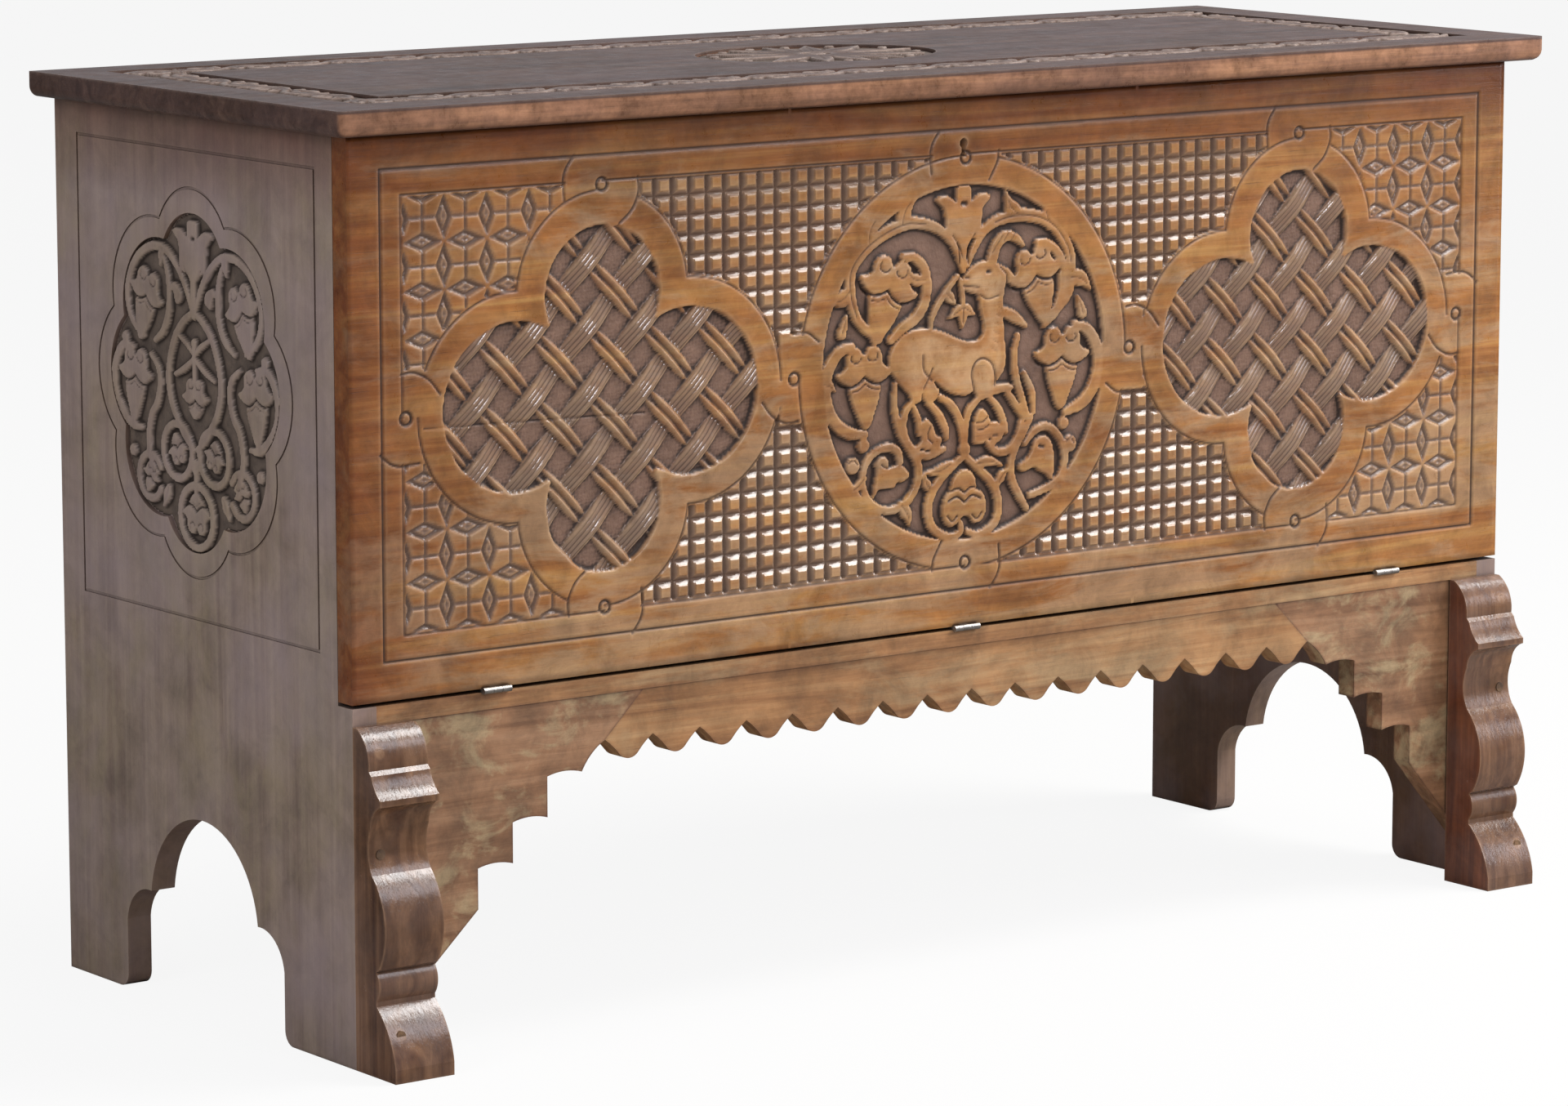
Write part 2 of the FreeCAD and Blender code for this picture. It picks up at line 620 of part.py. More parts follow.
def lid_fields():
    """Tools for the sunk border round the lid's top and the sunk rosette in its middle."""
    level = f"{LID_UNDER} + Sizes.LidThickness - Sizes.LidSinkDepth"
    border = []
    for inset in ("0", "Sizes.LidBorderWidth"):
        half = f"(Sizes.BodyWidth / 2 - Sizes.LidBorderFromEnd - {inset})"
        near = f"(Sizes.LidBorderFromFront + {inset})"
        depth = f"Sizes.BodyDepth - Sizes.LidBorderFromBack - {inset} - {near}"
        border.append(block(f"lid_border_{len(border) + 1}", (f"2 * {half}", depth, "Sizes.LidThickness"),
                            (f"-{half}", f"{FRONT} + {near}", level)))
    oval = doc.addObject("Part::Ellipse", "rosette_outline")
    oval.setExpression("MajorRadius", "Sizes.RosetteHalfLength")
    oval.setExpression("MinorRadius", "Sizes.RosetteHalfDepth")
    put(oval, ("0", f"{FRONT} + Sizes.BodyDepth / 2 - Sizes.RosetteShift", level))
    rosette = doc.addObject("Part::Extrusion", "rosette")
    rosette.Base = oval
    rosette.DirMode = "Normal"
    rosette.Solid = True
    rosette.setExpression("LengthFwd", "Sizes.LidThickness")
    return [cut("lid_border", border[0], [border[1]]), rosette]


def keyhole():
    """The keyhole as a tool: a round hole over a narrow slot."""
    depth = "Sizes.DoorThickness + Sizes.LockSheet"
    hole = rod("keyhole_round", "Sizes.KeyholeRadius", depth, ("Sizes.KeyholePlace", FRONT, KEYHOLE_Z), "y")
    slot = block("keyhole_slot", ("Sizes.KeyholeSlot", depth, "Sizes.KeyholeDrop"),
                 ("Sizes.KeyholePlace - Sizes.KeyholeSlot / 2", FRONT, f"{KEYHOLE_Z} - Sizes.KeyholeDrop"))
    return fuse("keyhole", [hole, slot])


def fall_front(cutters):
    """The hinged front board with its two quatrefoils, round medallion and framing line."""
    body = new_body("fall", ("0", FRONT, "0"))
    half = v.BodyWidth / 2
    low = value(DOOR_BOTTOM)
    high = value(DOOR_TOP)
    outline = trace(new_sketch(body, "fall_outline", "XZ_Plane"), *rectangle(-half, low, half, high))
    pad(body, outline, "Sizes.DoorThickness", True)
    line = new_sketch(body, "fall_line", "XZ_Plane")
    frame = value(FRAME_HALF)
    frame_low = low + v.FrameFromFoot
    frame_high = high - v.FrameFromTop
    trace(line, *rectangle(-frame, frame_low, frame, frame_high))
    within = frame - v.FrameLine
    trace(line, *rectangle(-within, frame_low + v.FrameLine, within, frame_high - v.FrameLine))
    pocket(body, line, "Sizes.FrameLineDepth")
    hollows = [woven_hollow(side) for side in SIDES] + [medallion_hollow()]
    return keep(cut("fall_cut", body, cutters + hollows), "fall_front_panel")


def woven_hollow(side):
    """Tool for a sunk quatrefoil that leaves crossed ribs and straps standing in it."""
    body = new_body(f"foil_{side}", ("0", FRONT, "0"))
    place = f"({SIDES[side]} * {FOIL_PLACE})"
    outline = trace(new_sketch(body, f"foil_{side}_outline", "XZ_Plane"), *quatrefoil(value(place)))
    pad(body, outline, "Sizes.RecessDepth", True)
    length = "(3 * Sizes.FoilHalfWidth)"
    slope = math.sqrt(0.5)
    bars = []
    widths = (("Sizes.RibWidth", 1), ("Sizes.StrapWidth", -1))
    for (width, way), shift in zip(widths, WEAVE_SHARES[side]):
        for number in range(-HALF_WEAVE, HALF_WEAVE + 1):
            off = f"({way} * {number + shift} * Sizes.WeavePitch - {width} / 2)"
            bar = doc.addObject("Part::Box", f"weave_{side}_{way + 1}_{number + HALF_WEAVE}")
            for edge, expression in zip(("Length", "Width", "Height"), (length, "Sizes.RecessDepth", width)):
                bar.setExpression(edge, expression)
            bar.Placement = Placement(Vector(0, 0, 0), Rotation(Vector(0, 1, 0), 45 * way))
            base = (f"{place} + {slope} * ({way} * {off} - {length} / 2)", f"{FRONT} + Sizes.CarvingDrop",
                    f"{DOOR_MIDDLE} + {slope} * ({off} + {way} * {length} / 2)")
            for letter, expression in zip("xyz", base):
                bar.setExpression(f"Placement.Base.{letter}", expression)
            bars.append(bar)
    return cut(f"foil_{side}_hollow", body, [fuse(f"weave_{side}", bars)])


def ribbon(points, half):
    """Closed outline of a stem: its middle line moved to each side by half its width."""
    left = []
    right = []
    for number, (x, z) in enumerate(points):
        before = points[max(number - 1, 0)]
        after = points[min(number + 1, len(points) - 1)]
        run = math.dist(before, after)
        side_x = (after[1] - before[1]) / run * half
        side_z = (before[0] - after[0]) / run * half
        left.append((x - side_x, z - side_z))
        right.append((x + side_x, z + side_z))
    return left + right[::-1]


def medallion_hollow():
    """Tool for the sunk round field that leaves the goat, stems, loops and leaves standing in it."""
    unit = v.MedallionRadius
    level = value(DOOR_MIDDLE)
    centre = ("0", FRONT, DOOR_MIDDLE)
    disc = rod("medallion", "Sizes.MedallionRadius", "Sizes.RecessDepth", centre, "y")
    outlines = {"goat": GOAT_SHARES, "tulip": TULIP_SHARES}
    for number, points in enumerate(STEM_SHARES, start=1):
        outlines[f"stem_{number}"] = ribbon(points, v.StemWidth / 2 / unit)
    for number, (foot, tip) in enumerate(LEAF_SHARES, start=1):
        along = (tip[0] - foot[0], tip[1] - foot[1])
        outlines[f"leaf_{number}"] = [
            (foot[0] + along[0] * far - along[1] * aside, foot[1] + along[1] * far + along[0] * aside)
            for far, aside in LEAF_OUTLINE_SHARES]
    standing = []
    for name, shares in outlines.items():
        body = new_body(name, ("0", f"{FRONT} + Sizes.CarvingDrop", "0"))
        points = [(unit * x, level + unit * z) for x, z in shares]
        outline = trace(new_sketch(body, f"{name}_outline", "XZ_Plane"), points[0], [[p] for p in points[1:]])
        pad(body, outline, "Sizes.RecessDepth", True)
        standing.append(body)
    for number, (x, z, radius) in enumerate(LOOP_SHARES, start=1):
        base = (f"{x} * Sizes.MedallionRadius", f"{FRONT} + Sizes.CarvingDrop",
                f"{DOOR_MIDDLE} + {z} * Sizes.MedallionRadius")
        reach = f"{radius} * Sizes.MedallionRadius"
        outer = rod(f"loop_{number}_outer", reach, "Sizes.RecessDepth", base, "y")
        inner = rod(f"loop_{number}_inner", f"{reach} - Sizes.StemWidth", "Sizes.RecessDepth", base, "y")
        standing.append(cut(f"loop_{number}", outer, [inner]))
    return cut("medallion_hollow", disc, [fuse("medallion_carving", standing)])


def quatrefoil(centre):
    """Start and steps of a four-lobed outline about a centre on the front."""
    across = v.FoilCuspAcross
    rise = v.FoilCuspRise
    level = value(DOOR_MIDDLE)
    start = (centre - across, level + rise)
    steps = [[(centre, level + v.FoilHalfHeight), (centre + across, level + rise)]]
    steps += [[(centre + v.FoilHalfWidth, level), (centre + across, level - rise)]]
    steps += [[(centre, level - v.FoilHalfHeight), (centre - across, level - rise)]]
    steps += [[(centre - v.FoilHalfWidth, level), start]]
    return start, steps


def knuckle_part(name, spans, radius, pin, axis_place):
    """Hinge barrel sections along X, bored for the pin; spans are expressions from, to."""
    x, y, z = axis_place
    sections = []
    for number, (low, high) in enumerate(spans, start=1):
        tube = rod(f"{name}_tube_{number}", radius, f"({high}) - ({low})", (f"{x} + {low}", y, z), "x")
        bore = rod(f"{name}_bore_{number}", pin, f"({high}) - ({low})", (f"{x} + {low}", y, z), "x")
        sections.append(cut(f"{name}_section_{number}", tube, [bore]))
    return sections


def front_hinge(number, x, cuts):
    """A butt hinge in the gap under the fall front: leaf on the floor edge, leaf under the door, pin."""
    length = "Sizes.FrontHingeLength"
    third = f"{length} / 6"
    gap = "Sizes.KnuckleGap"
    axis_place = (x, FRONT_AXIS_Y, FRONT_AXIS_Z)
    sheet_y = f"({FRONT} - Sizes.FrontKnuckle)"
    clear_y = f"({FRONT} + Sizes.KnuckleGap)"
    leaf_back = f"({FRONT} + Sizes.FrontLeafDepth)"
    outer = [(f"-{length} / 2", f"-{third}"), (third, f"{length} / 2")]
    inner = [(f"-{third} + {gap}", f"{third} - {gap}")]
    thick = "Sizes.FrontLeafThickness"
    leaves = (
        ("frame", outer, "Sizes.FloorTop", "-z", "Sizes.FrontPin", "Sizes.FloorScrewLength"),
        ("door", inner, f"{DOOR_BOTTOM} - {thick}", "z", "Sizes.FrontPin + Sizes.PinPlay",
         "Sizes.DoorScrewLength"),
    )
    for kind, spans, z, turn, bore, screw_length in leaves:
        name = f"front_hinge_{kind}_{number}"
        parts = knuckle_part(name, spans, "Sizes.FrontKnuckle", bore, axis_place)
        parts.append(block(f"{name}_sheet", (length, f"{leaf_back} - {clear_y}", thick),
                           (f"{x} - {length} / 2", clear_y, z)))
        for tab, (low, high) in enumerate(spans, start=1):
            strip = block(f"{name}_tab_{tab}", (f"({high}) - ({low})", f"{clear_y} - {sheet_y}", thick),
                          (f"{x} + {low}", sheet_y, z))
            hollow = rod(f"{name}_hollow_{tab}", bore, f"({high}) - ({low})",
                         (f"{x} + {low}", FRONT_AXIS_Y, FRONT_AXIS_Z), "x")
            parts.append(cut(f"{name}_strip_{tab}", strip, [hollow]))
        head_z = f"{z} + {thick}" if turn == "-z" else z
        screws = []
        for way in (-1, 1):
            spot = (f"{x} + {way} * {length} * {FRONT_SCREW_SHARE}", f"({clear_y} + {leaf_back}) / 2", head_z)
            screws.append(screw(f"{name}_screw_{way + 1}", spot, turn, screw_length, thick))
        cuts[kind] += screws
        keep(cut(f"{name}_cut", fuse(f"{name}_solid", parts), screws), f"front_hinge_{kind}_leaf_{number}")
    pin_place = (f"{x} - {length} / 2", FRONT_AXIS_Y, FRONT_AXIS_Z)
    pin = rod(f"front_pin_{number}", "Sizes.FrontPin", length, pin_place, "x")
    keep(pin, f"front_hinge_pin_{number}")


def lid_hinge(number, x, cuts):
    """A butt hinge on the back of the case: leaf on the back board, leaf on the lid's edge, pin."""
    length = "Sizes.LidHingeLength"
    third = f"{length} / 6"
    gap = "Sizes.KnuckleGap"
    thick = "Sizes.LidLeafThickness"
    knuckle = "Sizes.LidKnuckle"
    axis_place = (x, LID_AXIS_Y, LID_AXIS_Z)
    outer = [(f"-{length} / 2", f"-{third}"), (third, f"{length} / 2")]
    inner = [(f"-{third} + {gap}", f"{third} - {gap}")]
    clear = f"({knuckle} + {gap})"
    leaves = (
        ("back", outer, "Sizes.LidPin", f"{LID_AXIS_Z} - Sizes.BackLeafHeight",
         f"Sizes.BackLeafHeight - {clear}", LID_AXIS_Z, -1),
        ("lid", inner, "Sizes.LidPin + Sizes.PinPlay", f"{LID_AXIS_Z} + {clear}",
         f"Sizes.LidLeafHeight - {clear}", LID_AXIS_Z, 1),
    )
    for kind, spans, bore, low_z, height, middle, way in leaves:
        name = f"lid_hinge_{kind}_{number}"
        parts = knuckle_part(name, spans, knuckle, bore, axis_place)
        low_corner = (f"{x} - {length} / 2", BACK_FACE, low_z)
        parts.append(block(f"{name}_sheet", (length, thick, height), low_corner))
        tab_z = middle if way > 0 else f"{middle} - {clear}"
        for tab, (low, high) in enumerate(spans, start=1):
            strip = block(f"{name}_tab_{tab}", (f"({high}) - ({low})", thick, clear),
                          (f"{x} + {low}", BACK_FACE, tab_z))
            parts.append(strip)
        screws = []
        screw_z = f"{low_z} + ({height}) / 2"
        for side in (-1, 1):
            spot = (f"{x} + {side} * {length} * {LID_SCREW_SHARE}", f"{BACK_FACE} + {thick}", screw_z)
            screws.append(screw(f"{name}_screw_{side + 1}", spot, "-y", "Sizes.LidScrewLength", thick))
        cuts[kind] += screws
        keep(cut(f"{name}_cut", fuse(f"{name}_solid", parts), screws), f"lid_hinge_{kind}_leaf_{number}")
    pin_place = (f"{x} - {length} / 2", LID_AXIS_Y, LID_AXIS_Z)
    pin = rod(f"lid_pin_{number}", "Sizes.LidPin", length, pin_place, "x")
    keep(pin, f"lid_hinge_pin_{number}")


def stay_places():
    """Pivot on the door and pin on the side, both StayRadius from the front hinge axis."""
    axis_y = value(FRONT_AXIS_Y)
    axis_z = value(FRONT_AXIS_Z)
    pivot_y = value(DOOR_BACK) + v.StayPivotSet
    pin_y = value(FRONT) + v.StayPinSet
    pivot_z = axis_z + math.sqrt(v.StayRadius ** 2 - (pivot_y - axis_y) ** 2)
    pin_z = axis_z + math.sqrt(v.StayRadius ** 2 - (pin_y - axis_y) ** 2)
    return (pivot_y, pivot_z), (pin_y, pin_z), (axis_y, axis_z)


def stay(side):
    """A slotted iron arm, the eared plate that carries it on the door, and its pin on the side board."""
    sign = SIDES[side]
    pivot, pin, axis = stay_places()
    near = math.dist(pivot, pin)
    start_angle = math.atan2(pivot[1] - axis[1], pivot[0] - axis[0])
    pin_angle = math.atan2(pin[1] - axis[1], pin[0] - axis[0])
    far = 2 * v.StayRadius * math.sin((start_angle - pin_angle + math.pi / 2) / 2)
    wall = sign * value(INNER_X)
    half = v.StayWidth / 2
    hole = v.StayPin + v.StayPlay
    body = doc.addObject("PartDesign::Body", f"stay_{side}")
    bar = new_sketch(body, f"stay_{side}_outline", "YZ_Plane")
    end = far + half + hole
    trace(bar, (0, half), [[(end, half)], [(end + half, 0), (end, -half)], [(0, -half)],
                           [(-half, 0), (0, half)]])
    bar.addGeometry(Part.Circle(Vector(0, 0, 0), Vector(0, 0, 1), hole), False)
    slot_near = near - v.StayPlay
    slot_far = far + v.StayPlay
    trace(bar, (slot_near, hole), [[(slot_far, hole)], [(slot_far + hole, 0), (slot_far, -hole)],
                                   [(slot_near, -hole)], [(slot_near - hole, 0), (slot_near, hole)]])
    pad(body, bar, "Sizes.StayThickness", sign > 0)
    tilt = math.degrees(math.atan2(pin[1] - pivot[1], pin[0] - pivot[0]))
    outer_face = wall - sign * v.StayStandOff
    body.Placement = Placement(Vector(outer_face, pivot[0], pivot[1]), Rotation(Vector(1, 0, 0), tilt))
    keep(body, f"stay_arm_{side}")
    turn = "-x" if sign > 0 else "x"
    flange_height = "Sizes.StayStandOff - Sizes.StayPlay"
    reach = f"({flange_height} + 2 * Sizes.StayPlay + Sizes.StayThickness)"
    pin_place = (str(wall), str(pin[0]), str(pin[1]))
    flange = rod(f"stay_flange_{side}", "Sizes.StayFlange", flange_height, pin_place, turn)
    shaft = rod(f"stay_shaft_{side}", "Sizes.StayPin", f"{reach} + Sizes.StayHeadHeight", pin_place, turn)
    head_place = (f"{wall} - {sign} * {reach}", str(pin[0]), str(pin[1]))
    head = rod(f"stay_head_{side}", "Sizes.StayHead", "Sizes.StayHeadHeight", head_place, turn)
    keep(fuse(f"stay_pin_{side}_solid", [flange, shaft, head]), f"stay_pin_{side}")
    ear_outer = f"({wall} - {sign} * {reach})"
    ear_x = ear_outer if sign < 0 else f"{ear_outer} - Sizes.EarThickness"
    plate_x = ear_outer if sign < 0 else f"{ear_outer} - Sizes.EarPlateWidth"
    ear_z = f"{pivot[1]} - Sizes.EarHalfHeight"
    ear = block(f"stay_ear_{side}", ("Sizes.EarThickness", "Sizes.StayPivotSet", "2 * Sizes.EarHalfHeight"),
                (ear_x, DOOR_BACK, ear_z))
    plate = block(f"stay_plate_{side}",
                  ("Sizes.EarPlateWidth", "Sizes.EarThickness", "2 * Sizes.EarHalfHeight"),
                  (plate_x, DOOR_BACK, ear_z))
    ear_end = rod(f"stay_ear_end_{side}", "Sizes.StayWidth / 2", "Sizes.EarThickness",
                  (ear_outer, str(pivot[0]), str(pivot[1])), turn)
    pivot_pin = rod(f"stay_pivot_{side}", "Sizes.StayPin", "Sizes.StayPlay + Sizes.StayThickness",
                    (ear_outer, str(pivot[0]), str(pivot[1])), "x" if sign > 0 else "-x")
    keep(fuse(f"stay_bracket_{side}_solid", [ear, plate, ear_end, pivot_pin]), f"stay_bracket_{side}")


def hook_wedge(name, radius, start, sweep, base):
    """A wedge of a disc in the plane of the front, from a start angle through a sweep."""
    wedge = rod(name, radius, "Sizes.HookThickness", base, "z", sweep)
    turn = Rotation(Vector(1, 0, 0), 90).multiply(Rotation(Vector(0, 0, 1), start))
    wedge.Placement = Placement(Vector(0, 0, 0), turn)
    for letter, expression in zip("xyz", base):
        wedge.setExpression(f"Placement.Base.{letter}", expression)
    return wedge


def lock(cuts):
    """Plate, case, pivoting hook, its pivot and the strike plate in the lid."""
    hook_back = f"({HOOK_Y} + Sizes.HookThickness)"
    hook_base = ("Sizes.HookPlace", hook_back, HOOK_Z)
    ring = hook_wedge("hook_ring", "Sizes.HookOuter", v.HookRestAngle, v.HookSweepAngle, hook_base)
    ring_hole = rod("hook_ring_hole", "Sizes.HookInner", "Sizes.HookThickness",
                    ("Sizes.HookPlace", HOOK_Y, HOOK_Z), "y")
    arm = hook_wedge("hook_arm", "Sizes.HookInner + Sizes.HookPlay", v.HookRestAngle, v.HookArmAngle,
                     hook_base)
    hub = rod("hook_hub", "Sizes.HookHub", "Sizes.HookThickness", ("Sizes.HookPlace", HOOK_Y, HOOK_Z), "y")
    hub_hole = rod("hook_hub_hole", "Sizes.HookPivot + Sizes.PinPlay", "Sizes.HookThickness",
                   ("Sizes.HookPlace", HOOK_Y, HOOK_Z), "y")
    rim = cut("hook_rim", ring, [ring_hole])
    keep(cut("hook_cut", fuse("hook_solid", [rim, arm, hub]), [hub_hole]), "lock_hook")

    plate_low = f"({DOOR_TOP} - Sizes.LockPlateHeight)"
    plate = block("lock_plate_solid", ("Sizes.LockPlateWidth", "Sizes.LockSheet", "Sizes.LockPlateHeight"),
                  ("-Sizes.LockPlateWidth / 2", DOOR_BACK, plate_low))
    screws = []
    for across in (-1, 1):
        for up in (-1, 1):
            spot = (f"{across} * (Sizes.LockPlateWidth + Sizes.LockCaseWidth) / 4", LOCK_BACK,
                    f"{plate_low} + Sizes.LockPlateHeight * (0.5 + {up} * {LOCK_SCREW_SHARE})")
            name = f"lock_screw_{across + 1}_{up + 1}"
            screws.append(screw(name, spot, "-y", "Sizes.LockScrewLength", "Sizes.LockSheet"))
    cuts["lock"] += screws
    keep(cut("lock_plate_cut", plate, screws + [cuts["keyhole"]]), "lock_plate")

    case_low = f"({DOOR_TOP} - Sizes.LockCaseHeight)"
    case = block("lock_case_solid", ("Sizes.LockCaseWidth", "Sizes.LockCaseDepth", "Sizes.LockCaseHeight"),
                 ("-Sizes.LockCaseWidth / 2", LOCK_BACK, case_low))
    inside = block("lock_case_inside",
                   ("Sizes.LockCaseWidth - 2 * Sizes.LockSheet", "Sizes.LockCaseDepth - Sizes.LockSheet",
                    "Sizes.LockCaseHeight - 2 * Sizes.LockSheet"),
                   ("Sizes.LockSheet - Sizes.LockCaseWidth / 2", LOCK_BACK, f"{case_low} + Sizes.LockSheet"))
    slot_low = math.sqrt(v.HookInner ** 2 - (v.HookOuter - v.HookRise) ** 2) - v.HookPlay
    slot_high = math.sqrt(v.HookOuter ** 2 - (v.HookOuter - v.HookRise - v.LockSheet) ** 2) + v.HookPlay
    mouth = block("lock_mouth", (str(slot_high - slot_low), "Sizes.HookThickness + 2 * Sizes.HookPlay",
                                 "2 * Sizes.LockSheet"),
                  (f"Sizes.HookPlace + {slot_low}", f"{HOOK_Y} - Sizes.HookPlay",
                   f"{DOOR_TOP} - 1.5 * Sizes.LockSheet"))
    keep(cut("lock_case_cut", case, [inside, mouth]), "lock_case")
    pivot = rod("lock_pivot_solid", "Sizes.HookPivot", "Sizes.LockCaseDepth - Sizes.LockSheet",
                ("Sizes.HookPlace", LOCK_BACK, HOOK_Z), "y")
    keep(pivot, "lock_pivot")

    strike_rise = v.HookOuter - v.HookRise + v.DoorTopGap + v.LidSeat
    strike_low = math.sqrt(v.HookInner ** 2 - (strike_rise + v.StrikeThickness) ** 2) - v.HookPlay
    strike_high = math.sqrt(v.HookOuter ** 2 - strike_rise ** 2) + v.HookPlay
    hook_mid_y = f"({HOOK_Y} + Sizes.HookThickness / 2)"
    strike = block("strike_solid",
                   ("2 * Sizes.StrikeHalfLength", "Sizes.StrikeWidth", "Sizes.StrikeThickness"),
                   ("Sizes.HookPlace - Sizes.StrikeHalfLength", f"{hook_mid_y} - Sizes.StrikeWidth / 2",
                    LID_UNDER))
    window = block("strike_window",
                   (str(strike_high - strike_low), "Sizes.HookThickness + 2 * Sizes.HookPlay",
                    "3 * Sizes.StrikeThickness"),
                   (f"Sizes.HookPlace + {strike_low}", f"{HOOK_Y} - Sizes.HookPlay",
                    f"{LID_UNDER} - Sizes.StrikeThickness"))
    strike_screws = []
    for way in (-1, 1):
        spot = (f"Sizes.HookPlace + {way} * Sizes.StrikeHalfLength * {STRIKE_SCREW_SHARE}", hook_mid_y,
                LID_UNDER)
        name = f"strike_screw_{way + 1}"
        strike_screws.append(screw(name, spot, "z", "Sizes.LockScrewLength", "Sizes.StrikeThickness"))
    recess = block("strike_recess",
                   ("2 * Sizes.StrikeHalfLength", "Sizes.StrikeWidth", "Sizes.StrikeThickness"),
                   ("Sizes.HookPlace - Sizes.StrikeHalfLength", f"{hook_mid_y} - Sizes.StrikeWidth / 2",
                    LID_UNDER))
    mortise = block("strike_mortise",
                    ("2 * Sizes.HookInner", "Sizes.HookThickness + 2 * Sizes.HookPlay", "Sizes.MortiseDepth"),
                    ("Sizes.HookPlace - Sizes.HookInner / 2", f"{HOOK_Y} - Sizes.HookPlay", LID_UNDER))
    cuts["strike"] += strike_screws
    keep(cut("strike_cut", strike, [window] + strike_screws), "strike_plate")
    return [recess, mortise]


def build():
    """Make every piece in turn."""
    for side in SIDES:
        pegs = dowels(side)
        side_board(side, pegs)
        bracket(side, pegs)
        apron_wing(side)
        stay(side)
    apron_centre()
    cuts = {"frame": [], "door": [], "back": [], "lid": [], "lock": [], "strike": []}
    cuts["keyhole"] = keyhole()
    for number, way in enumerate((-1, 0, 1), start=1):
        front_hinge(number, f"{way} * (Sizes.BodyWidth / 2 - Sizes.FrontHingeFromEnd)", cuts)
        lid_hinge(number, f"{way} * (Sizes.BodyWidth / 2 - Sizes.LidHingeFromEnd)", cuts)
    lid_recesses = lock(cuts)
    frame_screws = keep(group("frame_screws", cuts["frame"]), "front_hinge_frame_screws")
    door_screws = keep(group("door_screws", cuts["door"]), "front_hinge_door_screws")
    back_screws = keep(group("back_screws", cuts["back"]), "lid_hinge_back_screws")
    lid_screws = keep(group("lid_screws", cuts["lid"]), "lid_hinge_lid_screws")
    lock_screws = keep(group("lock_screws", cuts["lock"]), "lock_screws")
    strike_screws = keep(group("strike_screws", cuts["strike"]), "strike_screws")
    case_boards(frame_screws, back_screws)
    fall_front([door_screws, lock_screws, cuts["keyhole"]])
    lid([lid_screws, strike_screws] + lid_recesses)


def write():
    """Check every object, then write one file for each piece."""
    for thing in doc.Objects:
        if "Invalid" in thing.State or "Error" in thing.State:
            raise RuntimeError(f"{thing.Name} did not build: {thing.State}")
    os.makedirs("parts", exist_ok=True)
    for piece in pieces:
        shape = piece.Shape
        if shape.isNull() or not shape.isValid() or not shape.Solids:
            raise RuntimeError(f"{piece.Label} has no valid solid")
        shape.exportStep(os.path.join("parts", piece.Label + ".step"))
        box = shape.BoundBox
        print(f"{piece.Label}: {len(shape.Solids)} solid(s), {shape.Volume / 1000:.1f} cm3,",
              f"x {box.XMin:.1f}..{box.XMax:.1f} y {box.YMin:.1f}..{box.YMax:.1f}",
              f"z {box.ZMin:.1f}..{box.ZMax:.1f}")


build()
doc.recompute()
write()
pivot, pin, axis = stay_places()
print("front hinge axis y, z:", axis, "stay pivot:", pivot, "stay pin:", pin)
print("lid hinge axis y, z:", value(LID_AXIS_Y), value(LID_AXIS_Z))
print("hook pivot:", v.HookPlace, value(HOOK_Y), value(HOOK_Z))
print("pieces:", len(pieces))
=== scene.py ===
# %% [markdown]
# # A carved walnut marriage chest
# The chest stands on shaped brackets. Its front board is carved with two quatrefoils of
# woven straps, a round medallion with a goat among scrolls, and two kinds of chip-carved
# ground. Each end has a lobed field of foliage, and the lid a border of leaves. The boards,
# hinges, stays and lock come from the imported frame. This script carves the surfaces, gives
# every piece its finish, and sets the camera and the light.

import math

import bpy
import numpy as np
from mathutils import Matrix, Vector


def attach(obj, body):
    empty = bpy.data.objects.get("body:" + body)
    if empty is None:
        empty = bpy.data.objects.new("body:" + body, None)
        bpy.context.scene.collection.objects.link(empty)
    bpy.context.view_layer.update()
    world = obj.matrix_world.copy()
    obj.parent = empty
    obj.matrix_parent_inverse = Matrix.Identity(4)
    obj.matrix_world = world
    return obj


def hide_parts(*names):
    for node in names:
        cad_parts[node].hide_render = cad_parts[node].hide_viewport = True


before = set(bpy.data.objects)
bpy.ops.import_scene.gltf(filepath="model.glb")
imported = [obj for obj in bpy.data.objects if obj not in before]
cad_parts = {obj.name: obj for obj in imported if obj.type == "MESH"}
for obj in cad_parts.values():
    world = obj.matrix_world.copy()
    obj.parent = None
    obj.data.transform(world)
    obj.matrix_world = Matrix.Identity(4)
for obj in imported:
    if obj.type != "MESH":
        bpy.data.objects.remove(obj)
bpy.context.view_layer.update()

# %% [markdown]
# ## Lines drawn with a pencil
# A carver draws the ornament on the board first. Here a drawn line is a handful of listed
# points, and a cubic through them gives its curve. The step from ground to raised
# work is an S-shaped ramp, because a gouge leaves a rounded shoulder and not a cliff.

# %% Curves and ramps
def curve(points, closed=False, steps=6):
    """A smooth line through points: cubics sloped at each point by half the step between its neighbours."""
    p = np.asarray(points, float)
    if closed:
        p = np.vstack([p[-1:], p, p[:2]])
    else:
        p = np.vstack([2 * p[:1] - p[1:2], p, 2 * p[-1:] - p[-2:-1]])
    t = np.linspace(0, 1, steps, endpoint=False)[:, None, None]
    a, b, c, d = p[:-3], p[1:-2], p[2:-1], p[3:]
    bend = (c - a) * t + (2 * a - 5 * b + 4 * c - d) * t**2 + (3 * b - a - 3 * c + d) * t**3
    line = (b + bend / 2).transpose(1, 0, 2).reshape(-1, p.shape[1])
    return line if closed else np.vstack([line, p[-2:-1]])


def ease(t):
    """Zero below 0, one above 1, and 3t squared less 2t cubed between."""
    t = np.clip(t, 0, 1)
    return t * t * (3 - 2 * t)


def rule(*runs):
    """Grid lines from runs of (start, end, step), each run shared out evenly."""
    parts = [np.linspace(a, b, max(1, round((b - a) / step)) + 1)[:-1] for a, b, step in runs]
    return np.concatenate(parts + [[runs[-1][1]]])


